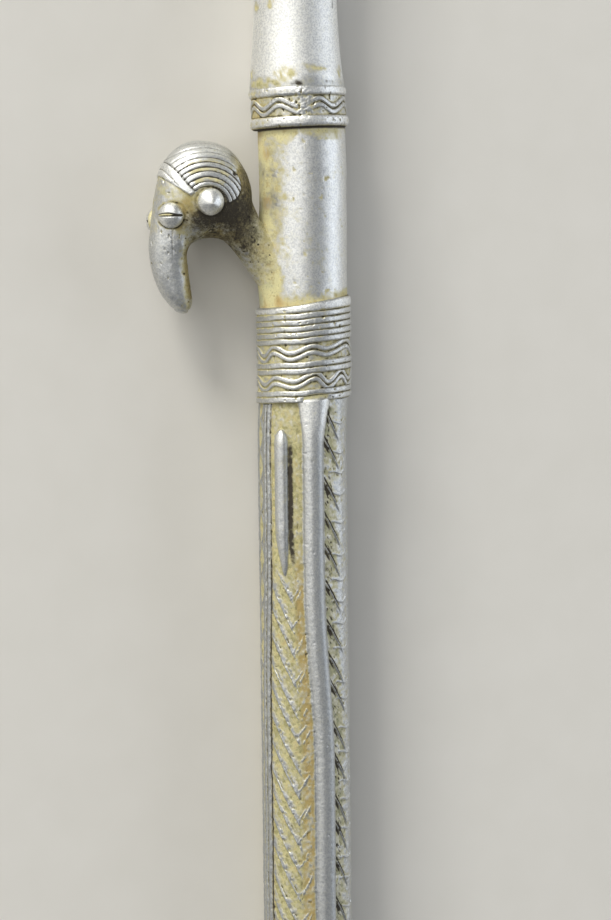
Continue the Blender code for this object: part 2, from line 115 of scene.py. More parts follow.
# The head, whose places are shares of its length: along from the crown, out from the stem, aside
HEAD_LENGTH = 0.0551
CROWN_BELOW_COLLAR = 0.0030
HEAD_SECTIONS = np.array((
    # crown side (along, out), throat side (along, out), half the breadth
    (0.560, -0.116, 1.000, -0.112, 0.200),
    (0.495, -0.016, 0.890, -0.008, 0.165),
    (0.419, 0.024, 0.770, 0.078, 0.142),
    (0.349, 0.050, 0.668, 0.150, 0.138),
    (0.267, 0.057, 0.596, 0.218, 0.160),
    (0.153, 0.103, 0.577, 0.271, 0.191),
    (0.052, 0.196, 0.576, 0.324, 0.209),
    (0.015, 0.332, 0.588, 0.366, 0.214),
    (0.034, 0.448, 0.600, 0.396, 0.205),
    (0.099, 0.533, 0.612, 0.417, 0.187),
    (0.172, 0.586, 0.631, 0.432, 0.167),
    (0.273, 0.616, 0.658, 0.442, 0.152),
    (0.377, 0.638, 0.693, 0.445, 0.138),
    (0.504, 0.655, 0.733, 0.437, 0.116),
    (0.632, 0.660, 0.791, 0.430, 0.100),
    (0.760, 0.643, 0.855, 0.418, 0.090),
    (0.871, 0.603, 0.919, 0.410, 0.080),
    (0.938, 0.556, 0.962, 0.418, 0.066),
    (0.972, 0.522, 0.982, 0.440, 0.043),
))
EYE_PLACES = {"near": (0.440, 0.560), "far": (0.468, 0.584)}
EYE_RADIUS = 0.0725 * HEAD_LENGTH
EYE_HEIGHT = 0.058 * HEAD_LENGTH
EYE_SLIT = 0.00021
EAR_PLACE = (0.368, 0.346)
EAR_RADIUS = 0.0775 * HEAD_LENGTH
EAR_HEIGHT = 0.076 * HEAD_LENGTH
CAP_MIDDLE = (0.400, 0.355)
# Heights and depths of the head's relief; the ground lies a little under the smooth form
HEAD_SINK = 0.00040
CAP_HEIGHT = 0.00042
CAP_GROOVE_DEPTH = 0.00034
BAND_HEIGHT = 0.00046
BAND_SPLIT_DEPTH = 0.00038
BAND_RIM_DEPTH = 0.00034
BEAK_LIFT = 0.00040
EYE_RING_DEPTH = 0.00022
EAR_RING_DEPTH = 0.00025
# The line between the beak's halves: places along the head, and how far out it lies there
MOUTH_LINE = ((0.52, 0.70, 0.85, 0.97), (0.556, 0.543, 0.510, 0.478))
MOUTH_DEPTH = 0.00014
HOLE_DEPTH = 0.00024
PIT_PLACE = (0.209, 0.192)
PIT_DEPTH = 0.0006
# The grooves of the cap: how far each lies from the cap's middle
CAP_LINES = (0.0067, 0.0081, 0.0096, 0.0114, 0.0127, 0.01425, 0.0157, 0.0173, 0.0188, 0.0203, 0.0219)


def middle_line():
    """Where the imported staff's middle line lies, across and up: the middle of its foot's flat end."""
    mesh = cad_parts["staff"].data
    corners = np.empty(3 * len(mesh.vertices))
    mesh.vertices.foreach_get("co", corners)
    corners = corners.reshape(-1, 3)
    foot_face = corners[corners[:, 0] > CAD_BOX[1][0] - 0.00001, 1:]
    return (foot_face.min(axis=0) + foot_face.max(axis=0)) / 2


AXIS_Y, AXIS_Z = middle_line()


def smooth(low, high, value):
    """0 below low, 1 above high and an S curve between them: t squared times (3 - 2t)."""
    share = np.clip((value - low) / (high - low), 0.0, 1.0)
    return share * share * (3.0 - 2.0 * share)


def ebb(low, high, value):
    """1 below low, 0 above high and the same S curve between them."""
    return 1.0 - smooth(low, high, value)


def hump(distance, width):
    """A smooth hump, 1 at no distance: e to the power -(distance / width) squared."""
    return np.exp(-((distance / width) ** 2))


def flat_top(distance, width, edge):
    """1 within half the width of a line, falling to 0 over the edge's length on either side."""
    return ebb((width - edge) / 2, (width + edge) / 2, np.abs(distance))


def crowned(distance, width, height):
    """A ridge's back: flat-topped and rounded to its sides, 1 - |2d / width| to the power 2.6."""
    return height * (1 - np.minimum(np.abs(2 * distance / width), 1.0) ** 2.6)


def barrel(distance, width, height):
    """The back of a rod half sunk in the ground: the arc of a circle as wide and as high as given."""
    radius = (height**2 + (width / 2) ** 2) / (2 * height)
    across = np.minimum(np.abs(distance), width / 2)
    return np.sqrt(radius**2 - across**2) - (radius - height)


def shingle(distance, rise, fall):
    """A scale's edge: it climbs to 1 over the rise before its line and sinks back over the fall after it."""
    return smooth(-rise, 0.0, distance) * ebb(0.0, fall, distance)


def mottle(points, grain, seed):
    """Smooth chance values from -1 to 1: one for each corner of a lattice of cubes, eased between corners."""
    corners = np.random.default_rng(seed).uniform(-1.0, 1.0, (32, 32, 32))
    cell = points / grain
    first = np.floor(cell).astype(int)
    share = smooth(0.0, 1.0, cell - first)
    total = np.zeros(points.shape[:-1])
    for corner in np.ndindex(2, 2, 2):
        at = (first + corner) % 32
        weight = np.prod(np.where(corner, share, 1.0 - share), axis=-1)
        total += weight * corners[at[..., 0], at[..., 1], at[..., 2]]
    return total


def uneven(points, *layers):
    """A cast skin's unevenness: the sum of each layer's height times chance values of its grain and seed."""
    return sum(height * mottle(points, grain, seed) for height, grain, seed in layers)


def pits(points, grain, share, seed):
    """Round casting pits: 1 in the few grains whose chance value is well over the share, else 0."""
    return smooth(share, share + 0.25, mottle(points, grain, seed))


def eased(field, times):
    """The field with each value drawn towards its neighbours this many times, closed round the columns."""
    for _ in range(times):
        field = (np.roll(field, 1, axis=1) + 2 * field + np.roll(field, -1, axis=1)) / 4
        padded = np.pad(field, ((1, 1), (0, 0)), mode="edge")
        field = (padded[:-2] + 2 * padded[1:-1] + padded[2:]) / 4
    return field


def sway(s):
    """How far aside the middle line lies at s, eased by the S curve from each place to the next."""
    place = s - LOWER_COLLAR_START
    aside = np.full_like(place, SWAY_ASIDE[0])
    for k in range(1, len(SWAY_PLACES)):
        step = SWAY_ASIDE[k] - SWAY_ASIDE[k - 1]
        aside += step * smooth(SWAY_PLACES[k - 1], SWAY_PLACES[k], place)
    return aside


def settle(points):
    """Carries straight-staff points to where the staff lies: swayed, rolled, moved, filed flat at z = 0."""
    y = points[..., 1] + sway(points[..., 0])
    z = points[..., 2]
    lying_x = points[..., 0] + CAD_BOX[0][0]
    lying_y = AXIS_Y + y * math.cos(ROLL) - z * math.sin(ROLL)
    lying_z = AXIS_Z + y * math.sin(ROLL) + z * math.cos(ROLL)
    return np.stack([lying_x, lying_y, np.maximum(lying_z, 0.0)], axis=-1)


def on_staff(s, angle, radius):
    """Points at s, at this angle from the beak's side and this far from the straight middle line."""
    return np.stack([s, -radius * np.cos(angle), radius * np.sin(angle)], axis=-1)


def round_angles(upper, under, first=-20.0, last=168.0):
    """Angles once round a piece, closer together on the side that lies uppermost."""
    top = np.linspace(first, last, upper, endpoint=False)
    rest = np.linspace(last, first + 360.0, under, endpoint=False)
    return np.radians(np.concatenate([top, rest]))


def facing(points):
    """The direction that each point of a closed grid faces: its row's step crossed with its column's."""
    down = np.gradient(points, axis=0)
    across = np.roll(points, -1, axis=1) - np.roll(points, 1, axis=1)
    normal = np.cross(down, across)
    return normal / np.maximum(np.linalg.norm(normal, axis=-1, keepdims=True), 1e-15)


def add_object(name, data):
    """A new object with this data, linked into the scene."""
    thing = bpy.data.objects.new(name, data)
    bpy.context.scene.collection.objects.link(thing)
    return thing


# The shares that each point of a mesh carries: pale ochre earth, near-black dirt together with painted
# shade, a green bloom on the earth, browner earth, and polish from handling together with painted light
FINISH = ("earth", "dirt_and_shade", "green", "warm", "shine_and_painted_light")


def cast(name, points, finish, normals=None):
    """A closed skin over a grid that goes round in columns; each end is drawn to a pole at its ring's middle.

    finish gives each point's shares, 0 where it leaves one out; a pole takes its ring's mean.
    """
    rows, columns = points.shape[:2]
    points = settle(points)
    normals = facing(points) if normals is None else normals
    poles = points[[0, -1]].mean(axis=1)
    pole_normals = np.stack([poles[0] - points[1].mean(axis=0), poles[1] - points[-2].mean(axis=0)])
    length = np.linalg.norm(pole_normals, axis=1, keepdims=True)
    pole_normals = np.where(length > 1e-9, pole_normals / np.maximum(length, 1e-9), normals[[0, -1], 0])
    index = np.arange(rows * columns).reshape(rows, columns)
    beside = np.roll(index, -1, axis=1)
    quads = np.stack([index[:-1], index[1:], beside[1:], beside[:-1]], axis=-1).reshape(-1, 4)
    first = np.stack([np.full(columns, rows * columns), index[0], beside[0]], axis=-1)
    last = np.stack([np.full(columns, rows * columns + 1), beside[-1], index[-1]], axis=-1)
    fans = np.concatenate([first, last])
    corners = np.concatenate([quads.ravel(), fans.ravel()])
    sides = np.concatenate([np.full(len(quads), 4), np.full(len(fans), 3)])
    mesh = bpy.data.meshes.new(name)
    mesh.vertices.add(rows * columns + 2)
    mesh.vertices.foreach_set("co", np.concatenate([points.reshape(-1, 3), poles]).ravel())
    mesh.loops.add(len(corners))
    mesh.loops.foreach_set("vertex_index", corners)
    mesh.polygons.add(len(sides))
    mesh.polygons.foreach_set("loop_start", np.cumsum(sides) - sides)
    mesh.update(calc_edges=True)
    mesh.shade_smooth()
    mesh.normals_split_custom_set_from_vertices(np.concatenate([normals.reshape(-1, 3), pole_normals]))
    for label in FINISH:
        share = np.broadcast_to(finish.get(label, 0.0), (rows, columns))
        ends = share[[0, -1]].mean(axis=1)
        spread = mesh.attributes.new(label, "FLOAT", "POINT")
        spread.data.foreach_set("value", np.concatenate([share.ravel(), ends]).astype(np.float32))
    return add_object(name, mesh)


# How far below its surroundings a place is full of earth, or of near-black dirt and painted shade
EARTH_DEPTH = 0.00028
DIRT_AND_SHADE_DEPTH = 0.00025


def weathered(height, ground_earth, where, seed, reach=10):
    """Shares of earth, and of dark dirt with painted shade: earth fills what lies below its surroundings, the
    dark dirt and shade the narrow grooves.

    Both come from how far the height lies below the same relief eased, wide for earth and close for the dark
    dirt and shade.
    """
    wide = eased(height, reach * 3) - height
    close = eased(height, reach) - height
    patchy = uneven(where, (0.28, 0.0026, seed), (0.24, 0.0009, seed + 1))
    earth = ground_earth + wide / EARTH_DEPTH + patchy
    # Painted shade together with dark dirt: narrow grooves are darkened where shade falls in them.
    dirt_and_shade = close / DIRT_AND_SHADE_DEPTH - 0.08 + 0.7 * patchy
    return np.clip(earth, 0.0, 1.0), np.clip(dirt_and_shade, 0.0, 1.0)


def spots(s, angle, places):
    """Soft patches on the staff: each place gives s, angle, half length, half width and strength.

    The angle and the half width are in degrees. A patch fades out between 0.7 and 1.2 times its size.
    """
    total = np.zeros(np.broadcast(s, angle).shape)
    for middle, turn, long, wide, strength in places:
        around = np.angle(np.exp(1j * (angle - math.radians(turn))))
        reach = ((s - middle) / long) ** 2 + (around / math.radians(wide)) ** 2
        total += strength * ebb(0.45, 1.5, reach)
    return total


# The top tube

def tube_grid():
    """Rows down the knob, ring and tube: s and radius of the turned profile, closer where it curves."""
    turn = np.linspace(0.02, 2.52, 34)
    knob_s = FINIAL_LENGTH * (1 - np.cos(turn)) / 2
    knob_r = FINIAL_RADIUS * np.sin(turn) ** 0.8
    share = np.linspace(0.0, 1.0, 22)
    ring_s = FINIAL_LENGTH + NECK_RING_LENGTH * share
    ring_r = TUBE_RADIUS + (NECK_RING_RADIUS - TUBE_RADIUS) * (1 - np.abs(2 * share - 1) ** 2.5)
    drop = np.linspace(0.0, 1.0, 90)[1:]
    mouth = UPPER_COLLAR_START + UPPER_BEAD_START
    tube_s = TUBE_START + (mouth + UPPER_BEAD_WIDTH / 2 - TUBE_START) * drop
    flare = np.minimum((tube_s - TUBE_START) / (mouth - TUBE_START), 1.0) ** TUBE_FLARE
    tube_r = TUBE_RADIUS + (TUBE_MOUTH_RADIUS - TUBE_RADIUS) * flare
    gorge_s = np.array([FINIAL_LENGTH * 0.985])
    gorge_r = np.array([TUBE_RADIUS * 0.87])
    return (
        np.concatenate([knob_s, gorge_s, ring_s, tube_s]),
        np.concatenate([knob_r, gorge_r, ring_r, tube_r]),
    )


def make_top_tube():
    """The knob, ring and flared tube, bright from handling and from painted light, with earth caught where
    the tube meets the collar.
    """
    angles = round_angles(90, 50)
    profile_s, profile_r = tube_grid()
    s, angle = np.meshgrid(profile_s, angles, indexing="ij")
    where = on_staff(s, angle, TUBE_RADIUS)
    radius = profile_r[:, None] + uneven(where, (0.00008, 0.009, 11), (0.00002, 0.0025, 12))
    foot = smooth(UPPER_COLLAR_START - 0.003, UPPER_COLLAR_START + 0.001, s)
    patches = spots(s, angle, (
        (0.1152, 60, 0.0022, 15, 1.0),
        (0.1180, 28, 0.0015, 26, 1.0),
        (0.1135, 92, 0.0012, 22, 0.9),
        (0.1142, 0, 0.0016, 12, 0.8),
        (0.1137, 142, 0.0020, 8, 0.7),
        (0.0920, 36, 0.0026, 9, 0.8),
        (0.0935, 6, 0.0018, 9, 0.7),
        (0.0345, 70, 0.0012, 60, 0.7),
        (0.1150, 230, 0.0030, 40, 0.9),
        (0.0345, 250, 0.0014, 70, 0.8),
    ))
    ragged = uneven(where, (0.7, 0.0016, 13), (0.5, 0.0006, 14))
    earth = np.clip(patches * (0.60 + 1.2 * ragged) + 0.30 * foot * (0.5 + ragged), 0.0, 1.0)
    scribbles = ((0.1181, 74, 0.0011, 8, 0.8), (0.1180, 118, 0.0013, 9, 0.8), (0.0925, 136, 0.0022, 3, 0.5))
    dirt_and_shade = np.clip(spots(s, angle, scribbles) * (0.6 + 1.3 * ragged), 0.0, 1.0)
    # Polish here is partly real handling and partly painted light that keeps the tube near white.
    shine_and_painted_light = 1.0 - 0.5 * foot - 0.4 * earth
    return cast("top_tube", on_staff(s, angle, radius), {"earth": earth, "dirt_and_shade": dirt_and_shade, "shine_and_painted_light": shine_and_painted_light})


# The collars

def flat_bead(place, start, width, power=3.5):
    """A bead's rounded back over its width from its start: 1 - |2k - 1| to the power, 0 outside."""
    share = np.clip((place - start) / width, 0.0, 1.0)
    return 1.0 - np.abs(2 * share - 1) ** power


# The waving lines' turning places, as seen from above: degrees round the staff and level, up or down
UPPER_TURNS = ((5, 0.8), (27, -0.9), (50, 0.8), (75, -0.8), (101, 0.7), (120, -0.8), (149, 0.8))
FIRST_TURNS = ((17, -0.85), (34, 0.87), (58, -0.60), (85, 0.50), (102, -0.20), (137, 0.93))
SECOND_TURNS = ((19, -0.85), (36, 0.53), (62, -0.45), (88, 1.05), (105, -1.00), (126, 0.95), (143, -0.9))


def wave_line(angle, known):
    """How far a waving line lies towards the top end, eased by the S curve between its turning places.

    Underneath, the turning places that are left go on evenly, alternately up and down.
    """
    start, first_level = known[0]
    end, last_level = known[-1]
    left = start + 360 - end
    hidden = 2 * round(left / WAVE_DEGREES)
    if first_level * last_level > 0:
        hidden -= 1
    gap = left / (hidden + 1)
    under_level = -0.9 * np.sign(last_level)
    turns = [*known, *((end + gap * (k + 1), under_level * (-1) ** k) for k in range(hidden))]
    turns.append((start + 360, first_level))
    turn = start + np.mod(np.degrees(angle) - start, 360)
    line = np.full_like(turn, first_level)
    for (low, level), (high, onward) in zip(turns, turns[1:]):
        line += (onward - level) * smooth(low, high, turn)
    return line


def wave_threads(place, angle, middle, height, known):
    """Two flat-topped threads that wave round the staff side by side: their shares of full height."""
    line = middle - height * wave_line(angle, known)
    slope = np.gradient(line, axis=1) / (np.gradient(angle, axis=1) * COLLAR_RADIUS)
    shares = np.zeros_like(place)
    for side in (-1, 1):
        distance = (place - line - side * WAVE_THREAD_GAP / 2) / np.sqrt(1 + slope**2)
        shares = np.maximum(shares, flat_top(distance, WAVE_THREAD_WIDTH, 0.0005))
    return shares


def slanted(points, start, length, top_slant, foot_slant):
    """Slants a collar's rings by sliding each point along; the slant goes evenly from top to foot."""
    slant = top_slant + (foot_slant - top_slant) * (points[..., 0] - start) / length
    tipped = points.copy()
    tipped[..., 0] -= points[..., 1] * np.tan(slant)
    return tipped


def make_beaded_collar(name, start, length, slant, rows, upper, under, waved, seed):
    """A collar with a plain bead along each edge and a sunk band between them, waved or plain."""
    place, angle = np.meshgrid(np.linspace(0.0, length, rows), round_angles(upper, under), indexing="ij")
    where = on_staff(start + place, angle, COLLAR_RADIUS)
    ground = COLLAR_RADIUS - COLLAR_GROUND_DEPTH
    lower_start = length - LOWER_BEAD_WIDTH
    upper_start = UPPER_BEAD_START if waved else 0.0
    upper_end = upper_start + UPPER_BEAD_WIDTH
    height = 0.8 * COLLAR_GROUND_DEPTH * flat_bead(place, upper_start, UPPER_BEAD_WIDTH)
    height += COLLAR_GROUND_DEPTH * flat_bead(place, lower_start, LOWER_BEAD_WIDTH)
    middle = (upper_end + lower_start) / 2
    smeared = 0.0
    if waved:
        smeared = spots(place, angle, ((0.0066, 80, 0.0046, 13, 1.0), (0.005, 190, 0.004, 14, 0.9)))
        shares = wave_threads(place, angle, middle, UPPER_WAVE_REACH, UPPER_TURNS)
        band = smooth(upper_end - 0.0005, upper_end, place)
        band *= ebb(lower_start, lower_start + 0.0006, place)
        waves = UPPER_WAVE_GROUND + UPPER_WAVE_HEIGHT * shares * (1 - 0.75 * smeared)
        height = np.maximum(height, waves * band)
        height += UPPER_WAVE_GROUND * smeared * band
    dents = uneven(where, (0.00007, 0.0022, seed), (0.00005 * (1 + 2.5 * smeared), 0.0008, seed + 1))
    holes = 0.00024 * pits(where, 0.0010, 0.62 - 0.35 * smeared, seed + 2)
    height = height + dents - holes
    points = on_staff(start + place, angle, ground + height)
    left = hump(np.degrees(np.angle(np.exp(1j * angle))) - 8, 34)
    earth, dirt_and_shade = weathered(height, 0.10 + 0.15 * smeared + 0.45 * left, where, seed=seed + 3)
    edge = smooth(0.0, 0.0004, place) * ebb(length - 0.0004, length, place)
    return cast(name, slanted(points, start, length, slant, slant), {
        "earth": earth * edge + 0.5 * (1 - edge),
        "dirt_and_shade": np.maximum(1.25 * dirt_and_shade, 0.6 * (1 - edge)),
        "warm": 0.8 * left,
        # The beads' polish is partly real rubbing and partly painted light that keeps them white.
        "shine_and_painted_light": 0.45 + 0.45 * smooth(0.0006, 0.0009, height),
    })


def make_lower_collar():
    """The lower collar: a wide bead, five straight threads, then waves and pairs of threads in turn."""
    place, angle = np.meshgrid(
        np.linspace(-0.0012, LOWER_COLLAR_LENGTH, 172), round_angles(205, 90), indexing="ij"
    )
    where = on_staff(LOWER_COLLAR_START + place, angle, COLLAR_RADIUS)
    ground = LOWER_COLLAR_RADIUS - THREAD_HEIGHT
    starts = [WIDE_BEAD_WIDTH + THREAD_PITCH * k for k in range(THREADS_UNDER_BEAD)]
    upper_wave = WIDE_BEAD_WIDTH + THREAD_PITCH * THREADS_UNDER_BEAD
    middle = upper_wave + WAVE_BAND
    edge = LOWER_COLLAR_LENGTH - 2 * THREAD_PITCH
    lower_wave = middle + 2 * THREAD_PITCH
    starts += [middle, middle + THREAD_PITCH, edge, edge + THREAD_PITCH]
    lift = WIDE_BEAD_LIFT * smooth(0.3, 1.0, np.sin((angle - math.radians(30)) / 1.6).clip(0, 1))
    first_bead = flat_bead(place + lift, 0.0, WIDE_BEAD_WIDTH + lift)
    shares = first_bead
    wander = 0.00022 * mottle(on_staff(0.0 * place, angle, COLLAR_RADIUS), 0.006, 31)
    for start in starts:
        shares = np.maximum(shares, flat_bead(place + wander, start + 0.00003, THREAD_PITCH - 0.00006, 5.0))
    bands = ((upper_wave, middle, FIRST_TURNS), (lower_wave, edge, SECOND_TURNS))
    for top, foot, known in bands:
        inside = smooth(top - 0.0001, top + 0.0002, place) * ebb(foot - 0.0002, foot + 0.0001, place)
        waves = wave_threads(place, angle, (top + foot) / 2, LOWER_WAVE_REACH, known)
        shares = np.maximum(shares, 0.92 * waves * inside)
    broken = spots(place, angle, ((0.0296, 90, 0.0015, 17, 1.0), (0.0296, 200, 0.0015, 12, 0.8)))
    height = THREAD_HEIGHT * (0.30 + 0.70 * shares) * (1 - 0.7 * broken)
    height += uneven(where, (0.00007, 0.0021, 32), (0.00005, 0.0008, 33))
    height -= 0.00022 * pits(where, 0.0011, 0.62, 34)
    height -= 0.0024 * ebb(-0.0004, 0.0, place + lift)
    points = on_staff(LOWER_COLLAR_START + place, angle, ground + height)
    left = hump(np.degrees(angle) - 10, 40)
    earth, dirt_and_shade = weathered(height, 0.14 + 0.22 * left + 0.4 * broken, where, seed=35)
    points = slanted(
        points, LOWER_COLLAR_START, LOWER_COLLAR_LENGTH, LOWER_COLLAR_TOP_SLANT, LOWER_COLLAR_SLANT
    )
    return cast("lower_collar", points, {
        "earth": earth,
        "dirt_and_shade": dirt_and_shade * (1 - 0.6 * left),
        # The bright first bead and threads: partly real rubbing, partly painted light.
        "shine_and_painted_light": 0.30 + 0.20 * shares + 0.5 * first_bead,
    })


# The stem

# Where the neck grows out of the stem, and how far the stem swells there
NECK_ROOT_S = 0.1750
NECK_ROOT_SWELL = 0.0013


def make_stem():
    """The plain stem between the collars, swollen where the neck grows out of it, pitted and scratched."""
    start = STEM_START - 0.0035
    end = LOWER_COLLAR_START + 0.004
    s, angle = np.meshgrid(np.linspace(start, end, 150), round_angles(85, 45), indexing="ij")
    where = on_staff(s, angle, STEM_RADIUS)
    around = np.angle(np.exp(1j * angle))
    root = ((s - NECK_ROOT_S) / 0.0085) ** 2 + (around / math.radians(40)) ** 2
    holes = pits(where, 0.0011, 0.60, 23)
    worn = uneven(where, (0.00012, 0.009, 21), (0.00003, 0.0022, 22))
    height = NECK_ROOT_SWELL * np.exp(-root) + worn - 0.00009 * holes
    edge = 47 + 6 * mottle(where, 0.0045, 25) + 4 * mottle(where, 0.0018, 26)
    beak_side = np.exp(-((np.degrees(around) + 2) / edge) ** 4)
    patch = spots(s, angle, (
        (0.1337, 52, 0.0032, 17, 0.9),
        (0.1795, 20, 0.0090, 26, 0.9),
        (0.1340, 110, 0.0018, 30, 0.5),
        (0.1340, 210, 0.0030, 50, 0.7),
        (0.1840, 200, 0.0030, 70, 0.6),
    ))
    from_top = s - STEM_START - STEM_RADIUS * np.cos(around) * math.tan(UPPER_COLLAR_SLANT)
    to_foot = LOWER_COLLAR_START + STEM_RADIUS * np.cos(around) * math.tan(LOWER_COLLAR_TOP_SLANT) - s
    caught = 0.75 * ebb(0.0003, 0.0030, from_top) + 0.95 * ebb(0.0004, 0.0048, to_foot)
    earth, dirt_and_shade = weathered(height, 0.96 * beak_side + patch + caught + 0.35 * holes - 0.10, where, seed=24)
    # Painted shadow: a dark line right under the upper collar.
    dirt_and_shade = np.maximum(dirt_and_shade, 0.9 * ebb(0.0002, 0.0011, from_top))
    points = on_staff(s, angle, STEM_RADIUS + 0.00035 + height)
    points[..., 1] += 0.00015 + 0.0005 * ebb(STEM_START, LOWER_COLLAR_START, s)
    return cast("stem", points, {
        "earth": earth,
        "dirt_and_shade": dirt_and_shade,
        "green": beak_side * np.clip(0.10 + 0.8 * mottle(where, 0.0060, 27), 0.0, 0.5),
        "warm": beak_side * np.clip(0.36 + 2.2 * mottle(where, 0.0050, 29), 0.0, 1.7) + 0.8 * caught,
        "shine_and_painted_light": 0.66,
    })


# The shaft

RIDGE_WIDTH = 0.0070
RIDGE_HEIGHT = 0.0017
# Under the collar the ridge is this much wider and higher, and it narrows over this length
RIDGE_WIDER = 0.56
RIDGE_HIGHER = 0.10
RIDGE_NARROWS = 0.0135
RIDGE_ANGLES = (math.radians(88.5), math.radians(99.5))
RIDGE_TURN = (0.058, 0.115)
# The two fillets and the groove beside them: degrees at the top, and how many degrees nearer further down
FILLETS = ((15.0, 9.5), (21.9, 6.6))
GROOVE = (26.8, 5.4)
DRIFT_DROPS = (0.040, 0.105)
# A lump of spilled metal on the narrow strip
LUMP_S = 0.3353
LUMP_HEIGHT = 0.00055
# The chain of lens shapes down the beak's side
LENS_LENGTH = 0.0099
LENS_HALF_ANGLE = math.radians(10.0)
# The short bar beside the ridge's top
BAR_START = 0.0088
BAR_LENGTH = 0.0468
BAR_WIDTH = 0.0047
BAR_HEIGHT = 0.0019
BAR_ANGLE = math.radians(45)
# How steeply the threads of the front and back panels fall, and how far apart they lie
LATTICE_SLOPE = math.tan(math.radians(61))
LATTICE_PITCH = 0.0084
BACK_SLOPE = math.tan(math.radians(58))
BACK_PITCH = 0.0112
# Widths, heights and depths of the lines that run down the shaft
FILLET_WIDTH = 0.00142
FILLET_HEIGHT = 0.00050
LENS_THREAD_WIDTH = 0.00100
LENS_THREAD_HEIGHT = 0.00026
SEAM_WIDTH = 0.00026
SEAM_DEPTH = 0.00030
GROOVE_WIDTH = 0.00030
GROOVE_DEPTH = 0.00055
BAR_SHADOW_DEPTH = 0.00110
RIDGE_FOOT_DEPTH = 0.00022
SHAFT_HOLE_DEPTH = 0.00018
# The front panel: how far above a thread its climb starts, how soon it drops, and heights and depths
FRONT_CLIMB = 0.0016
FRONT_DROP = 0.00030
FRONT_THREAD_HEIGHT = 0.00023
CREST_WIDTH = 0.00017
CREST_HEIGHT = 0.00007
UP_STROKE_SLOPE = math.tan(math.radians(50))
UP_STROKE_WIDTH = 0.00030
UP_STROKE_HEIGHT = 0.00019
SCALE_SLOPE = math.tan(math.radians(62))
SCALE_PITCH = 0.0112
SLIT_WIDTH = 0.00020
SLIT_DEPTH = 0.00034
DASH_DEPTH = 0.00024
NICK_DEPTH = 0.00022
# The back panel: its threads, the slit and the notch along each, and the rungs
BACK_THREAD_WIDTH = 0.00026
BACK_THREAD_HEIGHT = 0.00046
BACK_SLIT_DEPTH = 0.00042
NOTCH_WIDTH = 0.00042
NOTCH_DEPTH = 0.00050
BACK_NICK_DEPTH = 0.00016
BACK_LIFT = 0.00034
RUNG_SLOPE = math.tan(math.radians(14))
RUNG_PITCH = 0.0082
RUNG_WIDTH = 0.00032
RUNG_HEIGHT = 0.00028


def ridge_angle(s):
    """The main ridge starts nearer the beak's side and turns away from it further down."""
    turned = smooth(SHAFT_START + RIDGE_TURN[0], SHAFT_START + RIDGE_TURN[1], s)
    return RIDGE_ANGLES[0] + (RIDGE_ANGLES[1] - RIDGE_ANGLES[0]) * turned


def drifting(s, line):
    """The angle of a fillet or groove at s: it keeps its place at first and then drifts towards the beak."""
    drifted = smooth(SHAFT_START + DRIFT_DROPS[0], SHAFT_START + DRIFT_DROPS[1], s)
    return np.radians(line[0] - line[1] * drifted)


def nearest_line(place, first, pitch, stray, seed):
    """How far each place lies past the nearest of a run of lines whose spacing strays a little."""
    chance = np.random.default_rng(seed)
    lines = first + pitch * np.arange(-4, 90) + chance.uniform(-stray, stray, 94)
    upper = np.clip(np.searchsorted(lines, place), 1, len(lines) - 1)
    past = place - lines[upper - 1]
    short = place - lines[upper]
    return np.where(np.abs(short) < past, short, past), past


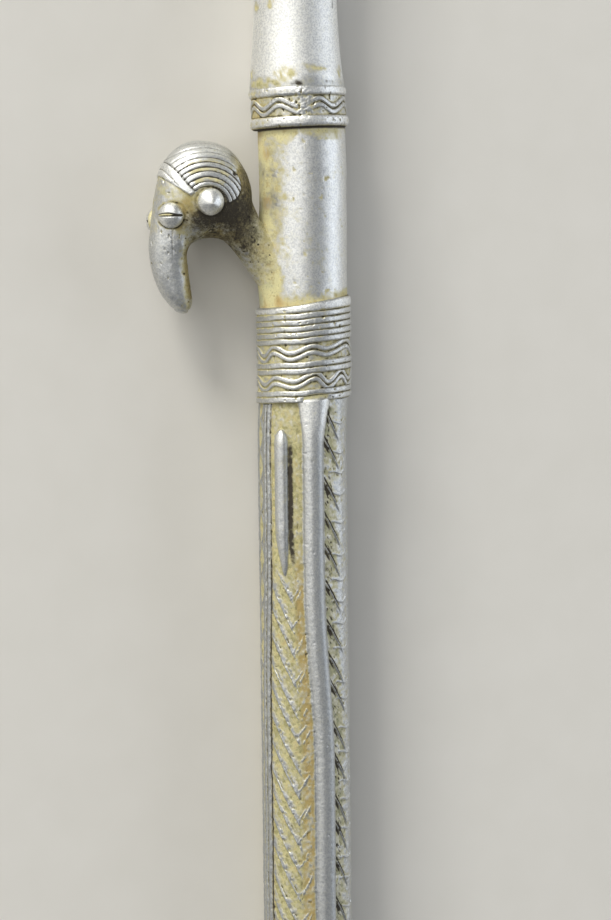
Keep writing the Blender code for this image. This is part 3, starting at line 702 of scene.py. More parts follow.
def front_panel(s, folded, seed):
    """The lattice between the fillets and the main ridge.

    Falling threads are shingled: each climbs gently from its upper side to a thin crest and drops away below.
    At its end each turns up into a short rising stroke. Nearer the ridge are rising scales with a slit under
    each, and the whole is sown with small pits in line with the threads.
    """
    left = drifting(s, GROOVE) + math.radians(1.5)
    across = SHAFT_RADIUS * (folded - left)
    right = SHAFT_RADIUS * (ridge_angle(s) - left) - RIDGE_WIDTH / 2
    share = across / right
    top = SHAFT_START + BAR_START + BAR_LENGTH - 0.002
    tilt = math.cos(math.atan(LATTICE_SLOPE))
    first = top + 0.0042
    near, past = nearest_line(s - across * LATTICE_SLOPE, first, LATTICE_PITCH, 0.0012, seed)
    above = np.where(near > 0, 1.0, hump(near * tilt, FRONT_CLIMB))
    falling = above * (1 - smooth(0.0, FRONT_DROP, past * tilt) * (near > 0))
    crest = hump(near * tilt, CREST_WIDTH)
    reach = ebb(0.64, 0.76, share) * smooth(-0.03, 0.05, share)
    turning = 0.62 * right
    rising = s + (across - turning) * UP_STROKE_SLOPE - turning * LATTICE_SLOPE
    up_near, _ = nearest_line(rising, first, LATTICE_PITCH, 0.0012, seed)
    up_reach = smooth(0.56, 0.64, share) * ebb(0.80, 0.90, share)
    up_stroke = hump(up_near * math.cos(math.atan(UP_STROKE_SLOPE)), UP_STROKE_WIDTH) * up_reach
    scale_tilt = math.cos(math.atan(SCALE_SLOPE))
    scale_line = s + (across - right) * SCALE_SLOPE
    scale_near, _ = nearest_line(scale_line, top + 0.006, SCALE_PITCH, 0.0022, seed + 1)
    scale_reach = smooth(0.66, 0.76, share) * ebb(0.88, 0.96, share)
    scale = shingle(scale_near * scale_tilt, 0.00022, 0.0011) * scale_reach
    slit = hump(scale_near * scale_tilt + 0.00034, SLIT_WIDTH) * scale_reach
    along_thread = (s + across / LATTICE_SLOPE) / 0.0011
    dashes = mottle(np.stack([along_thread, past * tilt / 0.00060, 0.0 * s], axis=-1), 1.0, seed + 2)
    dashes = smooth(0.30, 0.62, dashes) * smooth(0.05, 0.20, share) * ebb(0.75, 0.95, share)
    along_scale = (s - across * 0.53) / 0.0020
    over_scale = (s + across * 1.88) * scale_tilt / 0.00055
    nicks = mottle(np.stack([along_scale, over_scale, 0.0 * s], axis=-1), 1.0, seed + 3)
    nicks = smooth(0.15, 0.55, nicks) * smooth(0.58, 0.72, share)
    nicks *= ebb(0.90, 0.97, share)
    below = smooth(top - 0.001, top + 0.004, s)
    height = FRONT_THREAD_HEIGHT * falling * reach + CREST_HEIGHT * crest * reach
    height = np.maximum(height, UP_STROKE_HEIGHT * up_stroke)
    height = np.maximum(height, FRONT_THREAD_HEIGHT * scale)
    height -= SLIT_DEPTH * slit + DASH_DEPTH * dashes
    bare = np.clip(falling * reach * 0.85 + 0.7 * up_stroke + 0.25 * crest, 0.0, 1.0)
    return height * below - NICK_DEPTH * nicks, bare * below, share


def back_panel(s, folded, seed):
    """The panel behind the main ridge: thin falling threads with a slit along each, and short rungs."""
    right_edge = ridge_angle(s) + RIDGE_WIDTH / 2 / SHAFT_RADIUS
    across = SHAFT_RADIUS * (folded - right_edge)
    tilt = math.cos(math.atan(BACK_SLOPE))
    near, _ = nearest_line(s - across * BACK_SLOPE, SHAFT_START + 0.0018, BACK_PITCH, 0.0018, seed)
    reach = smooth(-0.0004, 0.0003, across) * ebb(0.0048, 0.0070, across)
    thread = hump(near * tilt, BACK_THREAD_WIDTH) * reach
    slit = hump(near * tilt + 0.00056, BACK_THREAD_WIDTH) * reach * ebb(0.0034, 0.0056, across)
    notch = hump(near * tilt - 0.00070, NOTCH_WIDTH) * reach * ebb(0.0010, 0.0026, across)
    bowed = s + across * RUNG_SLOPE + 0.0009 * np.sin(across / 0.0016)
    rung_near, _ = nearest_line(bowed, SHAFT_START + 0.0080, RUNG_PITCH, 0.0016, seed + 1)
    rung_reach = smooth(0.0014, 0.0026, across) * ebb(0.0085, 0.0110, across)
    rung = hump(rung_near, RUNG_WIDTH) * rung_reach
    grain = np.stack([(s + across / BACK_SLOPE) / 0.0014, near * tilt / 0.00040, 0.0 * s], axis=-1)
    nicks = smooth(0.25, 0.60, mottle(grain, 1.0, seed + 2)) * reach * ebb(0.0020, 0.0045, across)
    lift = BACK_LIFT * smooth(0.0035, 0.0075, across)
    height = np.maximum(BACK_THREAD_HEIGHT * thread, RUNG_HEIGHT * rung) + lift
    strength = 1.0 + 0.5 * mottle(on_staff(s, folded, SHAFT_RADIUS), 0.005, seed + 3)
    slits = np.clip((slit + notch + 0.45 * nicks) * strength, 0.0, 1.5)
    return height - BACK_SLIT_DEPTH * slit - NOTCH_DEPTH * notch - BACK_NICK_DEPTH * nicks, slits, across


def shaft_surface(s, angle):
    """The shaft's relief over its ground, and its shares of earth, dark dirt with painted shade, tints, and
    shine from handling with painted light and shade.

    The relief is alike on both sides of the beak's plane, so most of it depends on the folded angle.
    """
    where = on_staff(s, angle, SHAFT_RADIUS)
    turn = np.angle(np.exp(1j * angle))
    folded = np.abs(turn)
    drop = s - SHAFT_START
    wander = 0.010 * mottle(where * np.array([1.0, 0.02, 0.02]), 0.012, 60)
    flare = np.maximum(1 - drop / RIDGE_NARROWS, 0.0) ** 1.2
    ridge_width = RIDGE_WIDTH * (1 + RIDGE_WIDER * flare)
    ridge_line = SHAFT_RADIUS * (folded - ridge_angle(s) - wander)
    ridge = crowned(ridge_line, ridge_width, RIDGE_HEIGHT * (1 + RIDGE_HIGHER * flare))
    ridge += 0.15 * ridge_line * smooth(*RIDGE_TURN, drop) * smooth(0.0, 0.0006, ridge)
    height = np.zeros_like(s)
    for fillet in FILLETS:
        line = SHAFT_RADIUS * (folded - drifting(s, fillet) - wander)
        height = np.maximum(height, FILLET_HEIGHT * flat_top(line, FILLET_WIDTH, 0.0008))
    between_fillets = (drifting(s, FILLETS[0]) + drifting(s, FILLETS[1])) / 2
    seam = hump(SHAFT_RADIUS * (folded - between_fillets - wander), SEAM_WIDTH)
    groove_line = SHAFT_RADIUS * (folded - drifting(s, GROOVE) - wander)
    groove = GROOVE_DEPTH * hump(groove_line, GROOVE_WIDTH)
    fade = 1 - 0.65 * smooth(0.07, 0.13, drop)
    lens = LENS_HALF_ANGLE * np.abs(np.cos(math.pi * (drop - 0.0012) / LENS_LENGTH))
    thread = flat_top(SHAFT_RADIUS * (folded - lens), LENS_THREAD_WIDTH, 0.0008)
    height = np.maximum(height, LENS_THREAD_HEIGHT * thread * fade)
    in_lens = ebb(0.6, 1.0, folded / np.maximum(lens, 0.01)) * fade
    bar_share = (drop - BAR_START) / BAR_LENGTH
    bar_angle = BAR_ANGLE + math.radians(3.5) * smooth(0.70, 1.0, bar_share)
    bar_ends = np.sqrt(np.clip(1 - np.clip(1 - bar_share / 0.10, 0.0, 1.0) ** 2, 0.0, 1.0))
    bar_ends *= np.sqrt(np.clip((1 - bar_share) / 0.30, 0.0, 1.0))
    bar_line = SHAFT_RADIUS * (folded - bar_angle)
    bar_width = BAR_WIDTH * np.maximum(bar_ends, 0.02)
    bar = barrel(bar_line, bar_width, BAR_HEIGHT * np.maximum(bar_ends, 0.02)) * (bar_ends > 0)
    bar_length = smooth(-0.02, 0.22, bar_share) * ebb(0.80, 1.02, bar_share)
    bar_length *= 1 + 0.35 * mottle(where, 0.0012, 65)
    bar_shadow = flat_top(bar_line - 0.0030, 0.0017, 0.0015) * bar_length
    front, bare, share = front_panel(s, folded, 41)
    in_front = smooth(0.0, 0.0006, groove_line) * ebb(-0.0006, 0.0003, ridge_line + RIDGE_WIDTH / 2)
    back, slits, behind = back_panel(s, folded, 51)
    in_back = smooth(-0.0003, 0.0004, behind)
    height += front * in_front + back * in_back
    height -= groove + BAR_SHADOW_DEPTH * bar_shadow + SEAM_DEPTH * seam
    beside_ridge = np.abs(ridge_line) - ridge_width / 2
    height -= RIDGE_FOOT_DEPTH * hump(beside_ridge - 0.0004, 0.0004)
    height = np.maximum(height, bar)
    below_collar = drop - SHAFT_RADIUS * np.cos(turn) * math.tan(LOWER_COLLAR_SLANT)
    height *= smooth(-0.0002, 0.0006, below_collar)
    ridge *= smooth(-0.0016, -0.0002, below_collar)
    ridge *= 1 - 0.7 * smooth(FOOT_COLLAR_START - 0.0002, FOOT_COLLAR_START + 0.0012, s)
    height = np.where(ridge > 0.0, np.maximum(height, ridge), height)
    raised = np.maximum(smooth(0.0002, 0.0009, bar), smooth(0.0002, 0.0009, ridge))
    lump = ((s - LUMP_S) / 0.0022) ** 2 + ((turn - math.radians(21)) / 0.075) ** 2
    height += LUMP_HEIGHT * np.exp(-lump)
    rough = uneven(where, (0.00009, 0.0016, 61), (0.00008, 0.0007, 62))
    height += rough * (1 - 0.65 * raised) * (1 - 0.5 * in_lens)
    height -= SHAFT_HOLE_DEPTH * pits(where, 0.0009, 0.66, 63) * (1 - 0.3 * raised)
    ground = in_front * (0.84 - 0.66 * bare) + in_back * 0.52 * ebb(0.002, 0.007, behind)
    ground += 0.85 * in_lens - 0.9 * raised - 0.20 * (1 - in_front) * (1 - in_back)
    earth, dirt_and_shade = weathered(height * (1 - raised), ground, where, seed=64)
    lower = smooth(0.040, 0.060, drop)
    # Dark marks: a painted shadow beside the bar, and dark dirt with painted shade in the groove, the seam
    # and the back slits.
    for shadow_and_dirt_mark in (
        (0.92 + 0.25 * mottle(where, 0.0009, 67)) * bar_shadow,
        (0.55 + 0.40 * lower + 0.35 * mottle(where, 0.0014, 66)) * hump(groove_line, 0.00040),
        (0.55 + 0.3 * mottle(where, 0.0014, 68)) * seam,
        1.3 * slits * in_back,
    ):
        dirt_and_shade = np.maximum(dirt_and_shade, shadow_and_dirt_mark)
    warm = in_front * smooth(0.62, 0.85, share) * (0.25 + 0.75 * lower)
    warm += 0.6 * in_front * ebb(0.0, 0.12, share)
    # Polish, partly real handling and partly painted light: raised parts are brighter just under the collar.
    shine_and_painted_light = 0.22 + 0.18 * in_back * smooth(0.004, 0.007, behind) + 0.25 * raised
    shine_and_painted_light += 0.50 * raised * ebb(0.004, 0.018, drop)
    # Painted shade: the ridge's right flank gets less polish, so it reads darker as if turned from the light.
    painted_flank_shade = smooth(0.0003, 0.0014, ridge_line) * ebb(0.0026, 0.0034, ridge_line)
    shine_and_painted_light -= 0.34 * raised * painted_flank_shade * (ridge > 0.0)
    return height, {
        "earth": np.clip(earth, 0.0, 1.0),
        "dirt_and_shade": np.clip(dirt_and_shade, 0.0, 1.0) * (1 - 0.9 * raised),
        "green": np.clip(0.65 * in_back + 0.45 * bare * in_front, 0.0, 1.0),
        "warm": np.clip(warm, 0.0, 1.0),
        "shine_and_painted_light": shine_and_painted_light,
    }


# Rows of the skin: closer ones down to this far below the collar, and coarser ones from there on
FINE_LENGTH = 0.1694
FINE_ROWS = 566
COARSE_ROWS = 351


def make_shaft():
    """The shaft in four lengths that share one skin, in closer rows along its top quarter."""
    fine = np.linspace(SHAFT_START - 0.0025, SHAFT_START + FINE_LENGTH, FINE_ROWS)
    coarse = np.linspace(fine[-1], FOOT_COLLAR_START + 0.006, COARSE_ROWS)
    stretches = (("upper", fine, round_angles(210, 78)), ("lower", coarse, round_angles(170, 60)))
    pieces = []
    for word, rows, columns in stretches:
        s, angle = np.meshgrid(rows, columns, indexing="ij")
        height, finish = shaft_surface(s, angle)
        points = on_staff(s, angle, SHAFT_RADIUS + height)
        normals = facing(settle(points))
        half = len(rows) // 2
        for end, part in (("top", slice(0, half + 1)), ("foot", slice(half, None))):
            shares = {label: share[part] for label, share in finish.items()}
            pieces.append(cast(f"{word}_shaft_{end}", points[part], shares, normals[part]))
    return pieces


def make_foot():
    """The foot: it tapers to a flat, rounded tip below its collar."""
    length = STAFF_LENGTH - FOOT_START
    share = np.linspace(-0.12, 0.97, 70)
    taper = SHAFT_RADIUS + (FOOT_TIP_RADIUS - SHAFT_RADIUS) * np.clip(share, 0.0, 1.0) ** 1.6
    turn = np.linspace(0.0, math.pi / 2, 9)[1:]
    lip = 0.03 * length
    tip_s = STAFF_LENGTH - lip + lip * np.sin(turn)
    tip_r = taper[-1] - lip * (1 - np.cos(turn))
    face_r = tip_r[-1] * np.array([0.8, 0.5, 0.2])
    rows = np.concatenate([FOOT_START + length * share, tip_s, np.full(3, STAFF_LENGTH)])
    profile = np.concatenate([taper, tip_r, face_r])
    s, angle = np.meshgrid(rows, round_angles(80, 50), indexing="ij")
    where = on_staff(s, angle, SHAFT_RADIUS)
    worn = uneven(where, (0.00018, 0.006, 71), (0.00009, 0.0018, 72))
    fading = ebb(STAFF_LENGTH - 0.004, STAFF_LENGTH - 0.001, s)
    radius = profile[:, None] - 0.00012 + worn * fading
    earth, dirt_and_shade = weathered(worn, 0.30 * fading, where, seed=73)
    return cast("foot", on_staff(s, angle, radius), {
        "earth": earth,
        "dirt_and_shade": dirt_and_shade,
        "green": 0.2 * fading,
        "warm": 0.3 * fading,
        "shine_and_painted_light": 0.5,
    })


# The head

def through(values, places):
    """Smooth values between the rows of a table: a cubic through each value with its neighbours' slope."""
    last = len(values) - 1
    before = np.clip(np.floor(places).astype(int), 0, last - 1)
    t = (places - before)[:, None]
    p0 = values[np.maximum(before - 1, 0)]
    p1 = values[before]
    p2 = values[before + 1]
    p3 = values[np.minimum(before + 2, last)]
    slope_in = (p2 - p0) / 2
    slope_out = (p3 - p1) / 2
    rise = 2 * (p1 - p2) + slope_in + slope_out
    bend = 3 * (p2 - p1) - 2 * slope_in - slope_out
    return ((rise * t + bend) * t + slope_in) * t + p1


def head_point(along, out, aside):
    """Points of the head from shares of its length."""
    s = STEM_START + CROWN_BELOW_COLLAR + along * HEAD_LENGTH
    return np.stack([s, -STEM_RADIUS - out * HEAD_LENGTH, aside * HEAD_LENGTH], axis=-1)


def head_skin():
    """The head's smooth form: elliptic sections from its root over the crown to the beak's rounded tip."""
    places = np.concatenate([
        np.linspace(0.4, 3.5, 62, endpoint=False),
        np.linspace(3.5, 12.5, 246, endpoint=False),
        np.linspace(12.5, 18.0, 88),
    ])
    section = through(HEAD_SECTIONS, places)
    turn = round_angles(172, 68, -6.0, 186.0)
    crown = section[:, None, 0:2]
    throat = section[:, None, 2:4]
    flat = (crown + throat) / 2 + (crown - throat) / 2 * np.cos(turn)[None, :, None]
    aside = section[:, None, 4] * np.sin(turn)[None, :]
    tip = flat[-1].mean(axis=0)
    onward = tip - flat[-12].mean(axis=0)
    onward *= 0.020 / np.linalg.norm(onward)
    rounds = np.linspace(0.12, 1.50, 14)
    tip_flat = tip + (flat[-1] - tip) * np.cos(rounds)[:, None, None] + onward * np.sin(rounds)[:, None, None]
    tip_aside = aside[-1] * np.cos(rounds)[:, None]
    flat = np.concatenate([flat, tip_flat])
    aside = np.concatenate([aside, tip_aside])
    return flat[..., 0], flat[..., 1], aside


# Where the headband starts on the head, and the cosine and sine of the way that it runs
BAND_START = (0.146, 0.569)
BAND_WAY = (0.776, 0.632)
# Its edges and the groove between its strips: places along it, and how far across it each lies there
BAND_UPPER_EDGE = ((-0.1, 0.0, 0.053, 0.124, 0.159, 0.212), (-0.016, -0.006, -0.004, 0.0, 0.003, 0.000))
BAND_LOWER_EDGE = ((-0.1, 0.0, 0.063, 0.119, 0.173, 0.212), (0.075, 0.068, 0.0674, 0.056, 0.042, 0.030))
BAND_SPLIT = ((-0.1, 0.0, 0.050, 0.095), (0.026, 0.031, 0.041, 0.042))


def headband(along, out):
    """The two strips of the headband, worked out along the band (run) and across it (over).

    It gives their shares of full height, the groove between them, their rim, and how far past the upper
    edge each point lies.
    """
    from_start = (along - BAND_START[0], out - BAND_START[1])
    run = BAND_WAY[0] * from_start[0] - BAND_WAY[1] * from_start[1]
    over = BAND_WAY[1] * from_start[0] + BAND_WAY[0] * from_start[1]
    upper = np.interp(run, *BAND_UPPER_EDGE)
    lower = np.interp(run, *BAND_LOWER_EDGE)
    split = np.interp(run, *BAND_SPLIT)
    ends = ebb(0.206, 0.222, run)
    band = smooth(upper - 0.004, upper + 0.004, over) * ebb(lower - 0.004, lower + 0.004, over) * ends
    outer_end = smooth(0.090, 0.098, run) * smooth(split - 0.003, split + 0.003, over) * ebb(0.10, 0.16, run)
    groove = hump(over - split, 0.0036) * ebb(0.088, 0.098, run)
    rim = hump(over - upper + 0.003, 0.004) * ends
    return band * (1 - 0.6 * outer_end), groove, rim, over - upper


# The cap's back edge: distances from its middle, and how many degrees round each arc reaches
CAP_BACK = ((0.0067, 0.0096, 0.0114, 0.0127, 0.0143, 0.0165), (-78, -73, -66, -60, -44, -36))


def cap(along, out):
    """The ribbed cap: its raised area, its grooves, and how low the strips between some of them lie.

    The grooves are arcs round the cap's middle. Its back edge is given by how far round each arc reaches.
    """
    below = (along - CAP_MIDDLE[0]) * HEAD_LENGTH
    beyond = (out - CAP_MIDDLE[1]) * HEAD_LENGTH
    reach = np.hypot(below, beyond)
    turn = np.degrees(np.arctan2(beyond, -below))
    back = np.interp(reach, *CAP_BACK)
    soft = 2.0 + 12.0 * smooth(0.0145, 0.0180, reach)
    area = smooth(back - soft, back + soft, turn) * ebb(75, 100, turn)
    area *= smooth(CAP_LINES[0] - 0.0005, CAP_LINES[0] - 0.0001, reach)
    number = np.interp(reach, CAP_LINES, np.arange(len(CAP_LINES)), left=-0.5, right=len(CAP_LINES))
    line = np.array(CAP_LINES)[np.clip(np.round(number), 0, len(CAP_LINES) - 1).astype(int)]
    worn = 1 - 0.55 * smooth(0.0135, 0.0175, reach)
    groove = hump(reach - line, 0.00019) * worn
    odd = np.floor(number) % 2 == 1
    low = np.where(odd, smooth(-50, -30, turn) * ebb(26, 40, turn), 0.0) * worn
    low *= smooth(0.0, 0.0002, np.abs(reach - line))
    return area, groove, low, reach, turn


def blots(along, out, places):
    """Soft patches on the head: each place gives along, out, half length, half width and strength."""
    total = np.zeros_like(along)
    for at_along, at_out, long, wide, strength in places:
        reach = ((along - at_along) / long) ** 2 + ((out - at_out) / wide) ** 2
        total += strength * np.exp(-reach)
    return total


def make_head():
    """The bird's head: the smooth form raised by the cap, the headband and the mouth, and its finish."""
    along, out, aside = head_skin()
    base = head_point(along, out, aside)
    outward = facing(base)
    area, groove, low, reach, turn = cap(along, out)
    band, split, rim, past_band = headband(along, out)
    area = area * ebb(-0.006, 0.004, past_band)
    height = CAP_HEIGHT * area * (1 - 0.42 * low) - HEAD_SINK - CAP_GROOVE_DEPTH * groove * area
    height += BAND_HEIGHT * band - BAND_SPLIT_DEPTH * split * band - BAND_RIM_DEPTH * rim * (along < 0.33)
    height += BEAK_LIFT * smooth(0.50, 0.62, along) * smooth(0.40, 0.46, out)
    eye = EYE_PLACES["near"]
    to_eye = np.hypot(along - eye[0], out - eye[1]) * HEAD_LENGTH
    to_ear = np.hypot(along - EAR_PLACE[0], out - EAR_PLACE[1]) * HEAD_LENGTH
    eye_ring = hump(to_eye - EYE_RADIUS - 0.0001, 0.0005)
    ear_ring = hump(to_ear - EAR_RADIUS - 0.0002, 0.0006)
    height -= EYE_RING_DEPTH * eye_ring + EAR_RING_DEPTH * ear_ring
    mouth_out = np.interp(along, *MOUTH_LINE)
    mouth = hump((out - mouth_out) * HEAD_LENGTH, 0.00030)
    mouth *= smooth(0.515, 0.535, along) * ebb(0.60, 0.74, along)
    height -= MOUTH_DEPTH * mouth
    neck = smooth(0.20, 0.05, out)
    rough = uneven(base, (0.00005, 0.0028, 81), (0.00005, 0.0009, 82))
    height += rough * (0.35 + 0.65 * np.maximum(neck, 1 - area)) * (1 - 0.7 * area)
    holes = pits(base, 0.0011, 0.66 - 0.05 * neck, 83) * (1 - 0.75 * area)
    height -= HOLE_DEPTH * holes
    pit = hump(np.hypot(along - PIT_PLACE[0], out - PIT_PLACE[1]) * HEAD_LENGTH, 0.0008)
    height -= PIT_DEPTH * pit
    face = blots(along, out, (
        (0.385, 0.490, 0.085, 0.075, 1.00),
        (0.500, 0.520, 0.050, 0.050, 0.55),
        (0.300, 0.110, 0.110, 0.050, 0.75),
        (0.180, 0.170, 0.080, 0.045, 0.60),
        (0.500, 0.120, 0.120, 0.080, 0.60),
        (0.620, 0.020, 0.130, 0.060, 0.85),
        (0.850, -0.030, 0.130, 0.080, 0.70),
        (0.560, 0.300, 0.050, 0.110, 0.55),
        (0.700, 0.455, 0.120, 0.038, 0.85),
        (0.880, 0.440, 0.110, 0.038, 0.75),
        (0.430, 0.280, 0.070, 0.080, 0.45),
        (0.300, 0.600, 0.060, 0.030, 0.45),
    ))
    # Painted shadow together with dark dirt: patches under the ear, below the cap's back and down the neck,
    # where shade falls.
    shadow_and_dirt_blots = blots(along, out, (
        (0.470, 0.360, 0.060, 0.100, 1.70),
        (0.440, 0.235, 0.080, 0.100, 1.00),
        (0.520, 0.170, 0.110, 0.100, 0.70),
        (0.400, 0.155, 0.070, 0.070, 0.80),
        (0.220, 0.105, 0.150, 0.060, 0.80),
        (0.380, 0.070, 0.110, 0.060, 0.75),
        (0.780, 0.430, 0.200, 0.045, 0.50),
        (0.620, 0.120, 0.130, 0.100, 0.50),
        (0.760, 0.010, 0.130, 0.070, 0.32),
        (0.570, 0.330, 0.030, 0.120, 0.50),
        (0.500, 0.530, 0.030, 0.070, 0.35),
        (0.640, 0.440, 0.060, 0.035, 0.45),
    )) * (1 - area)
    shadow_and_dirt_blots *= 1 + uneven(base, (0.35, 0.0028, 85), (0.35, 0.0009, 86))
    # The painted shadow and dirt, eased: it adds earth, near-black dirt and brown warmth there.
    soft = 1 - np.exp(-1.5 * np.maximum(shadow_and_dirt_blots, 0.0))
    ground = face - 0.75 * area * (1 - low) - 0.6 * band + 0.45 * low * area + 0.05 + 0.55 * soft
    ground -= 0.22 * smooth(0.52, 0.62, along) * smooth(0.46, 0.50, out)
    earth, dirt_and_shade = weathered(height, ground, base, reach=6, seed=84)
    # Painted shadow along the cap's back edge, under its overhang.
    painted_cap_shadow = smooth(0.02, 0.30, area) * ebb(0.5, 0.95, area) * (turn < -20) * (reach < 0.0145)
    marks = 0.75 * groove * area + 0.9 * pit + 0.22 * (eye_ring + ear_ring) + 0.25 * mouth
    dirt_and_shade = np.clip(dirt_and_shade + marks + 0.80 * soft + 0.7 * painted_cap_shadow, 0.0, 1.0)
    green = blots(along, out, ((0.285, 0.575, 0.055, 0.035, 1.4), (0.50, 0.05, 0.14, 0.09, 0.55)))
    points = base + outward * height[..., None]
    from_axis = points * np.array([0.0, 1.0, 1.0])
    radius = np.linalg.norm(from_axis, axis=-1, keepdims=True)
    merging = ebb(0.0, 0.0040, radius - STEM_RADIUS) * smooth(0.62, 0.80, along)[..., None]
    normals = facing(settle(points)) * (1 - merging) + merging * from_axis / np.maximum(radius, 1e-6)
    normals /= np.linalg.norm(normals, axis=-1, keepdims=True)
    rooted = ebb(0.02, 0.16, out) * smooth(0.58, 0.76, along)
    return cast("head", points, {
        "earth": np.clip(earth, 0.0, 1.0),
        "dirt_and_shade": dirt_and_shade,
        "green": np.clip(green, 0.0, 1.0),
        "warm": np.clip(face + 0.8 * soft, 0.0, 1.0) * (0.8 - 0.3 * rooted),
        "shine_and_painted_light": np.clip(0.44 + 0.18 * area + 0.40 * band + 0.30 * rooted, 0.0, 1.0),
    }, normals), (along, out, base, outward)


def resting_place(head_grid, place, side):
    """The point of the head's skin nearest this place on one side, and the direction it faces."""
    along, out, base, outward = head_grid
    far = np.hypot(along - place[0], out - place[1]) + 9.0 * (base[..., 2] * side < 0)
    at = np.unravel_index(far.argmin(), far.shape)
    return base[at], outward[at]


def make_boss(name, middle, normal, radius, height, slit, seed):
    """A round boss: a flattened half ball with a lens-shaped slit, or a little pointed where it has none."""
    down = np.array([1.0, 0.0, 0.0]) - normal * normal[0]
    down /= np.linalg.norm(down)
    across = np.cross(normal, down)
    round_it = np.linspace(0.0, 2 * math.pi, 110, endpoint=False)
    lift, turn = np.meshgrid(np.linspace(0.02, 1.85, 44), round_it, indexing="ij")
    x = radius * np.sin(lift) * np.cos(turn)
    y = radius * np.sin(lift) * np.sin(turn)
    pointed = 0.0 if slit else 0.35
    z = height * ((1 - pointed) * np.cos(lift) + pointed * (1 - np.sin(lift)) * np.sign(np.cos(lift)))
    depth = np.zeros_like(z)
    dirt_and_shade = 0.0 * z
    earth = smooth(0.25, 0.0, np.cos(lift)) * 0.7
    if slit:
        lid = np.clip(1 - ((y / radius + 0.15) / 0.85) ** 2, 0.0, 1.0)
        upper_line = x + slit * (1 + 2.2 * lid)
        lower_line = x - slit
        on_top = smooth(0.1, 0.3, np.cos(lift))
        inside = smooth(-0.0001, 0.0001, upper_line) * ebb(-0.0001, 0.0001, lower_line) * on_top
        cut = (hump(upper_line, 0.00016) + hump(lower_line, 0.00020)) * on_top
        depth = 0.00028 * inside + 0.00040 * cut
        dirt_and_shade = np.clip(0.75 * cut + 0.9 * inside * smooth(0.1, 0.5, y / radius), 0.0, 1.0)
        earth = np.maximum(earth, 0.75 * inside)
    points = middle + x[..., None] * down + y[..., None] * across + z[..., None] * normal
    points -= (depth + 0.00010 * mottle(points, 0.0014, seed))[..., None] * normal
    return cast(name, points, {"earth": earth, "dirt_and_shade": dirt_and_shade, "shine_and_painted_light": 0.80})


def make_bosses(head_grid):
    """Eyes with their slits and the ear bosses, alike on both sides of the head."""
    made = []
    for side, word in ((1, "near"), (-1, "far")):
        middle, normal = resting_place(head_grid, EYE_PLACES[word], side)
        made.append(make_boss(f"{word}_eye", middle, normal, EYE_RADIUS, EYE_HEIGHT, EYE_SLIT, 91 + side))
        middle, normal = resting_place(head_grid, EAR_PLACE, side)
        made.append(make_boss(f"{word}_ear", middle, normal, EAR_RADIUS, EAR_HEIGHT, 0.0, 95 + side))
    return made


# Materials

def linear(hex_colour):
    """An sRGB hex colour as linear red, green, blue and full alpha."""
    parts = [int(hex_colour[k : k + 2], 16) / 255 for k in (0, 2, 4)]
    return (*[p / 12.92 if p <= 0.04045 else ((p + 0.055) / 1.055) ** 2.4 for p in parts], 1.0)


def add(tree, kind, inputs=None, **settings):
    """Adds a node with its settings; an input is linked where it is given a socket, and set otherwise."""
    made = tree.nodes.new(kind)
    for key, value in settings.items():
        setattr(made, key, value)
    for key, value in (inputs or {}).items():
        if isinstance(value, bpy.types.NodeSocket):
            tree.links.new(value, made.inputs[key])
        else:
            made.inputs[key].default_value = value
    return made


# Sockets of a colour mix: its factor, the two colours and the result
FACTOR, FIRST, SECOND, MIXED = 0, 6, 7, 2


def new_material(name):
    """A material with an empty node tree, and the object's own coordinates for its patterns."""
    made = bpy.data.materials.new(name)
    made.use_nodes = True
    made.node_tree.nodes.clear()
    return made, made.node_tree, add(made.node_tree, "ShaderNodeTexCoord").outputs["Object"]


# Noise patterns: name, size of grain in mm, detail. The real crumbs of earth are about 0.2 mm, too fine for
# the picture, so they are drawn coarser
GRAINS = (("patch", 6.0, 3.0), ("blotch", 1.9, 4.0), ("crumb", 0.55, 3.0))
# Values worked out in turn from the shares and grains. A sum is a value plus this much of another one, and a
# curve carries a value from one range to another by the S curve
WORKED = (
    ("sum", "ragged", "earth", "blotch", 0.50),
    ("sum", "ragged", "ragged", "crumb", 0.60),
    ("curve", "film", "ragged", 0.50, 1.20, 0.0, 1.0),
    ("curve", "crust", "ragged", 0.90, 1.60, 0.0, 1.0),
    ("sum", "black_dirt_and_shade", "dirt_and_shade", "crumb", 0.60),
    ("curve", "black_dirt_and_shade", "black_dirt_and_shade", 0.42, 1.10, 0.0, 1.0),
    ("sum", "warmth", "warm", "patch", 0.50),
    ("curve", "shined_and_lit", "shine_and_painted_light", 0.0, 1.0, 0.0, 1.0),
    ("curve", "dimpled", "crumb", 0.38, 0.60, 0.38, 0.0),
    ("curve", "streaked", "blotch", 0.35, 0.65, 0.0, 1.0),
    ("curve", "pale", "blotch", 0.38, 0.64, 0.0, 1.0),
    ("curve", "browned", "warmth", 0.35, 1.15, 0.0, 0.75),
    ("curve", "handled", "shine_and_painted_light", 0.40, 0.70, 0.0, 0.72),
    ("curve", "reddened", "warmth", 0.80, 1.90, 0.0, 0.85),
    ("curve", "spotted", "blotch", 0.50, 0.68, 0.0, 0.55),
    ("curve", "crumbled", "crumb", 0.30, 0.42, 0.60, 0.0),
    ("curve", "dull", "film", 0.0, 1.0, 0.0, 0.30),
    ("sum", "dull", "dull", "crust", 0.45),
    ("sum", "dull", "dull", "black_dirt_and_shade", 0.60),
    ("curve", "dull", "dull", 0.0, 0.9, 0.0, 1.0),
    ("curve", "sheen", "shine_and_painted_light", 0.0, 0.8, 0.44, 0.38),
    ("curve", "smeared", "shine_and_painted_light", 0.8, 1.0, 0.0, 0.13),
    ("sum", "sheen", "sheen", "smeared", 1.0),
    ("sum", "sheen", "sheen", "blotch", 0.12),
    ("sum", "roughness", "sheen", "dull", 0.35),
    ("sum", "relief", "crumb", "blotch", 0.50),
)
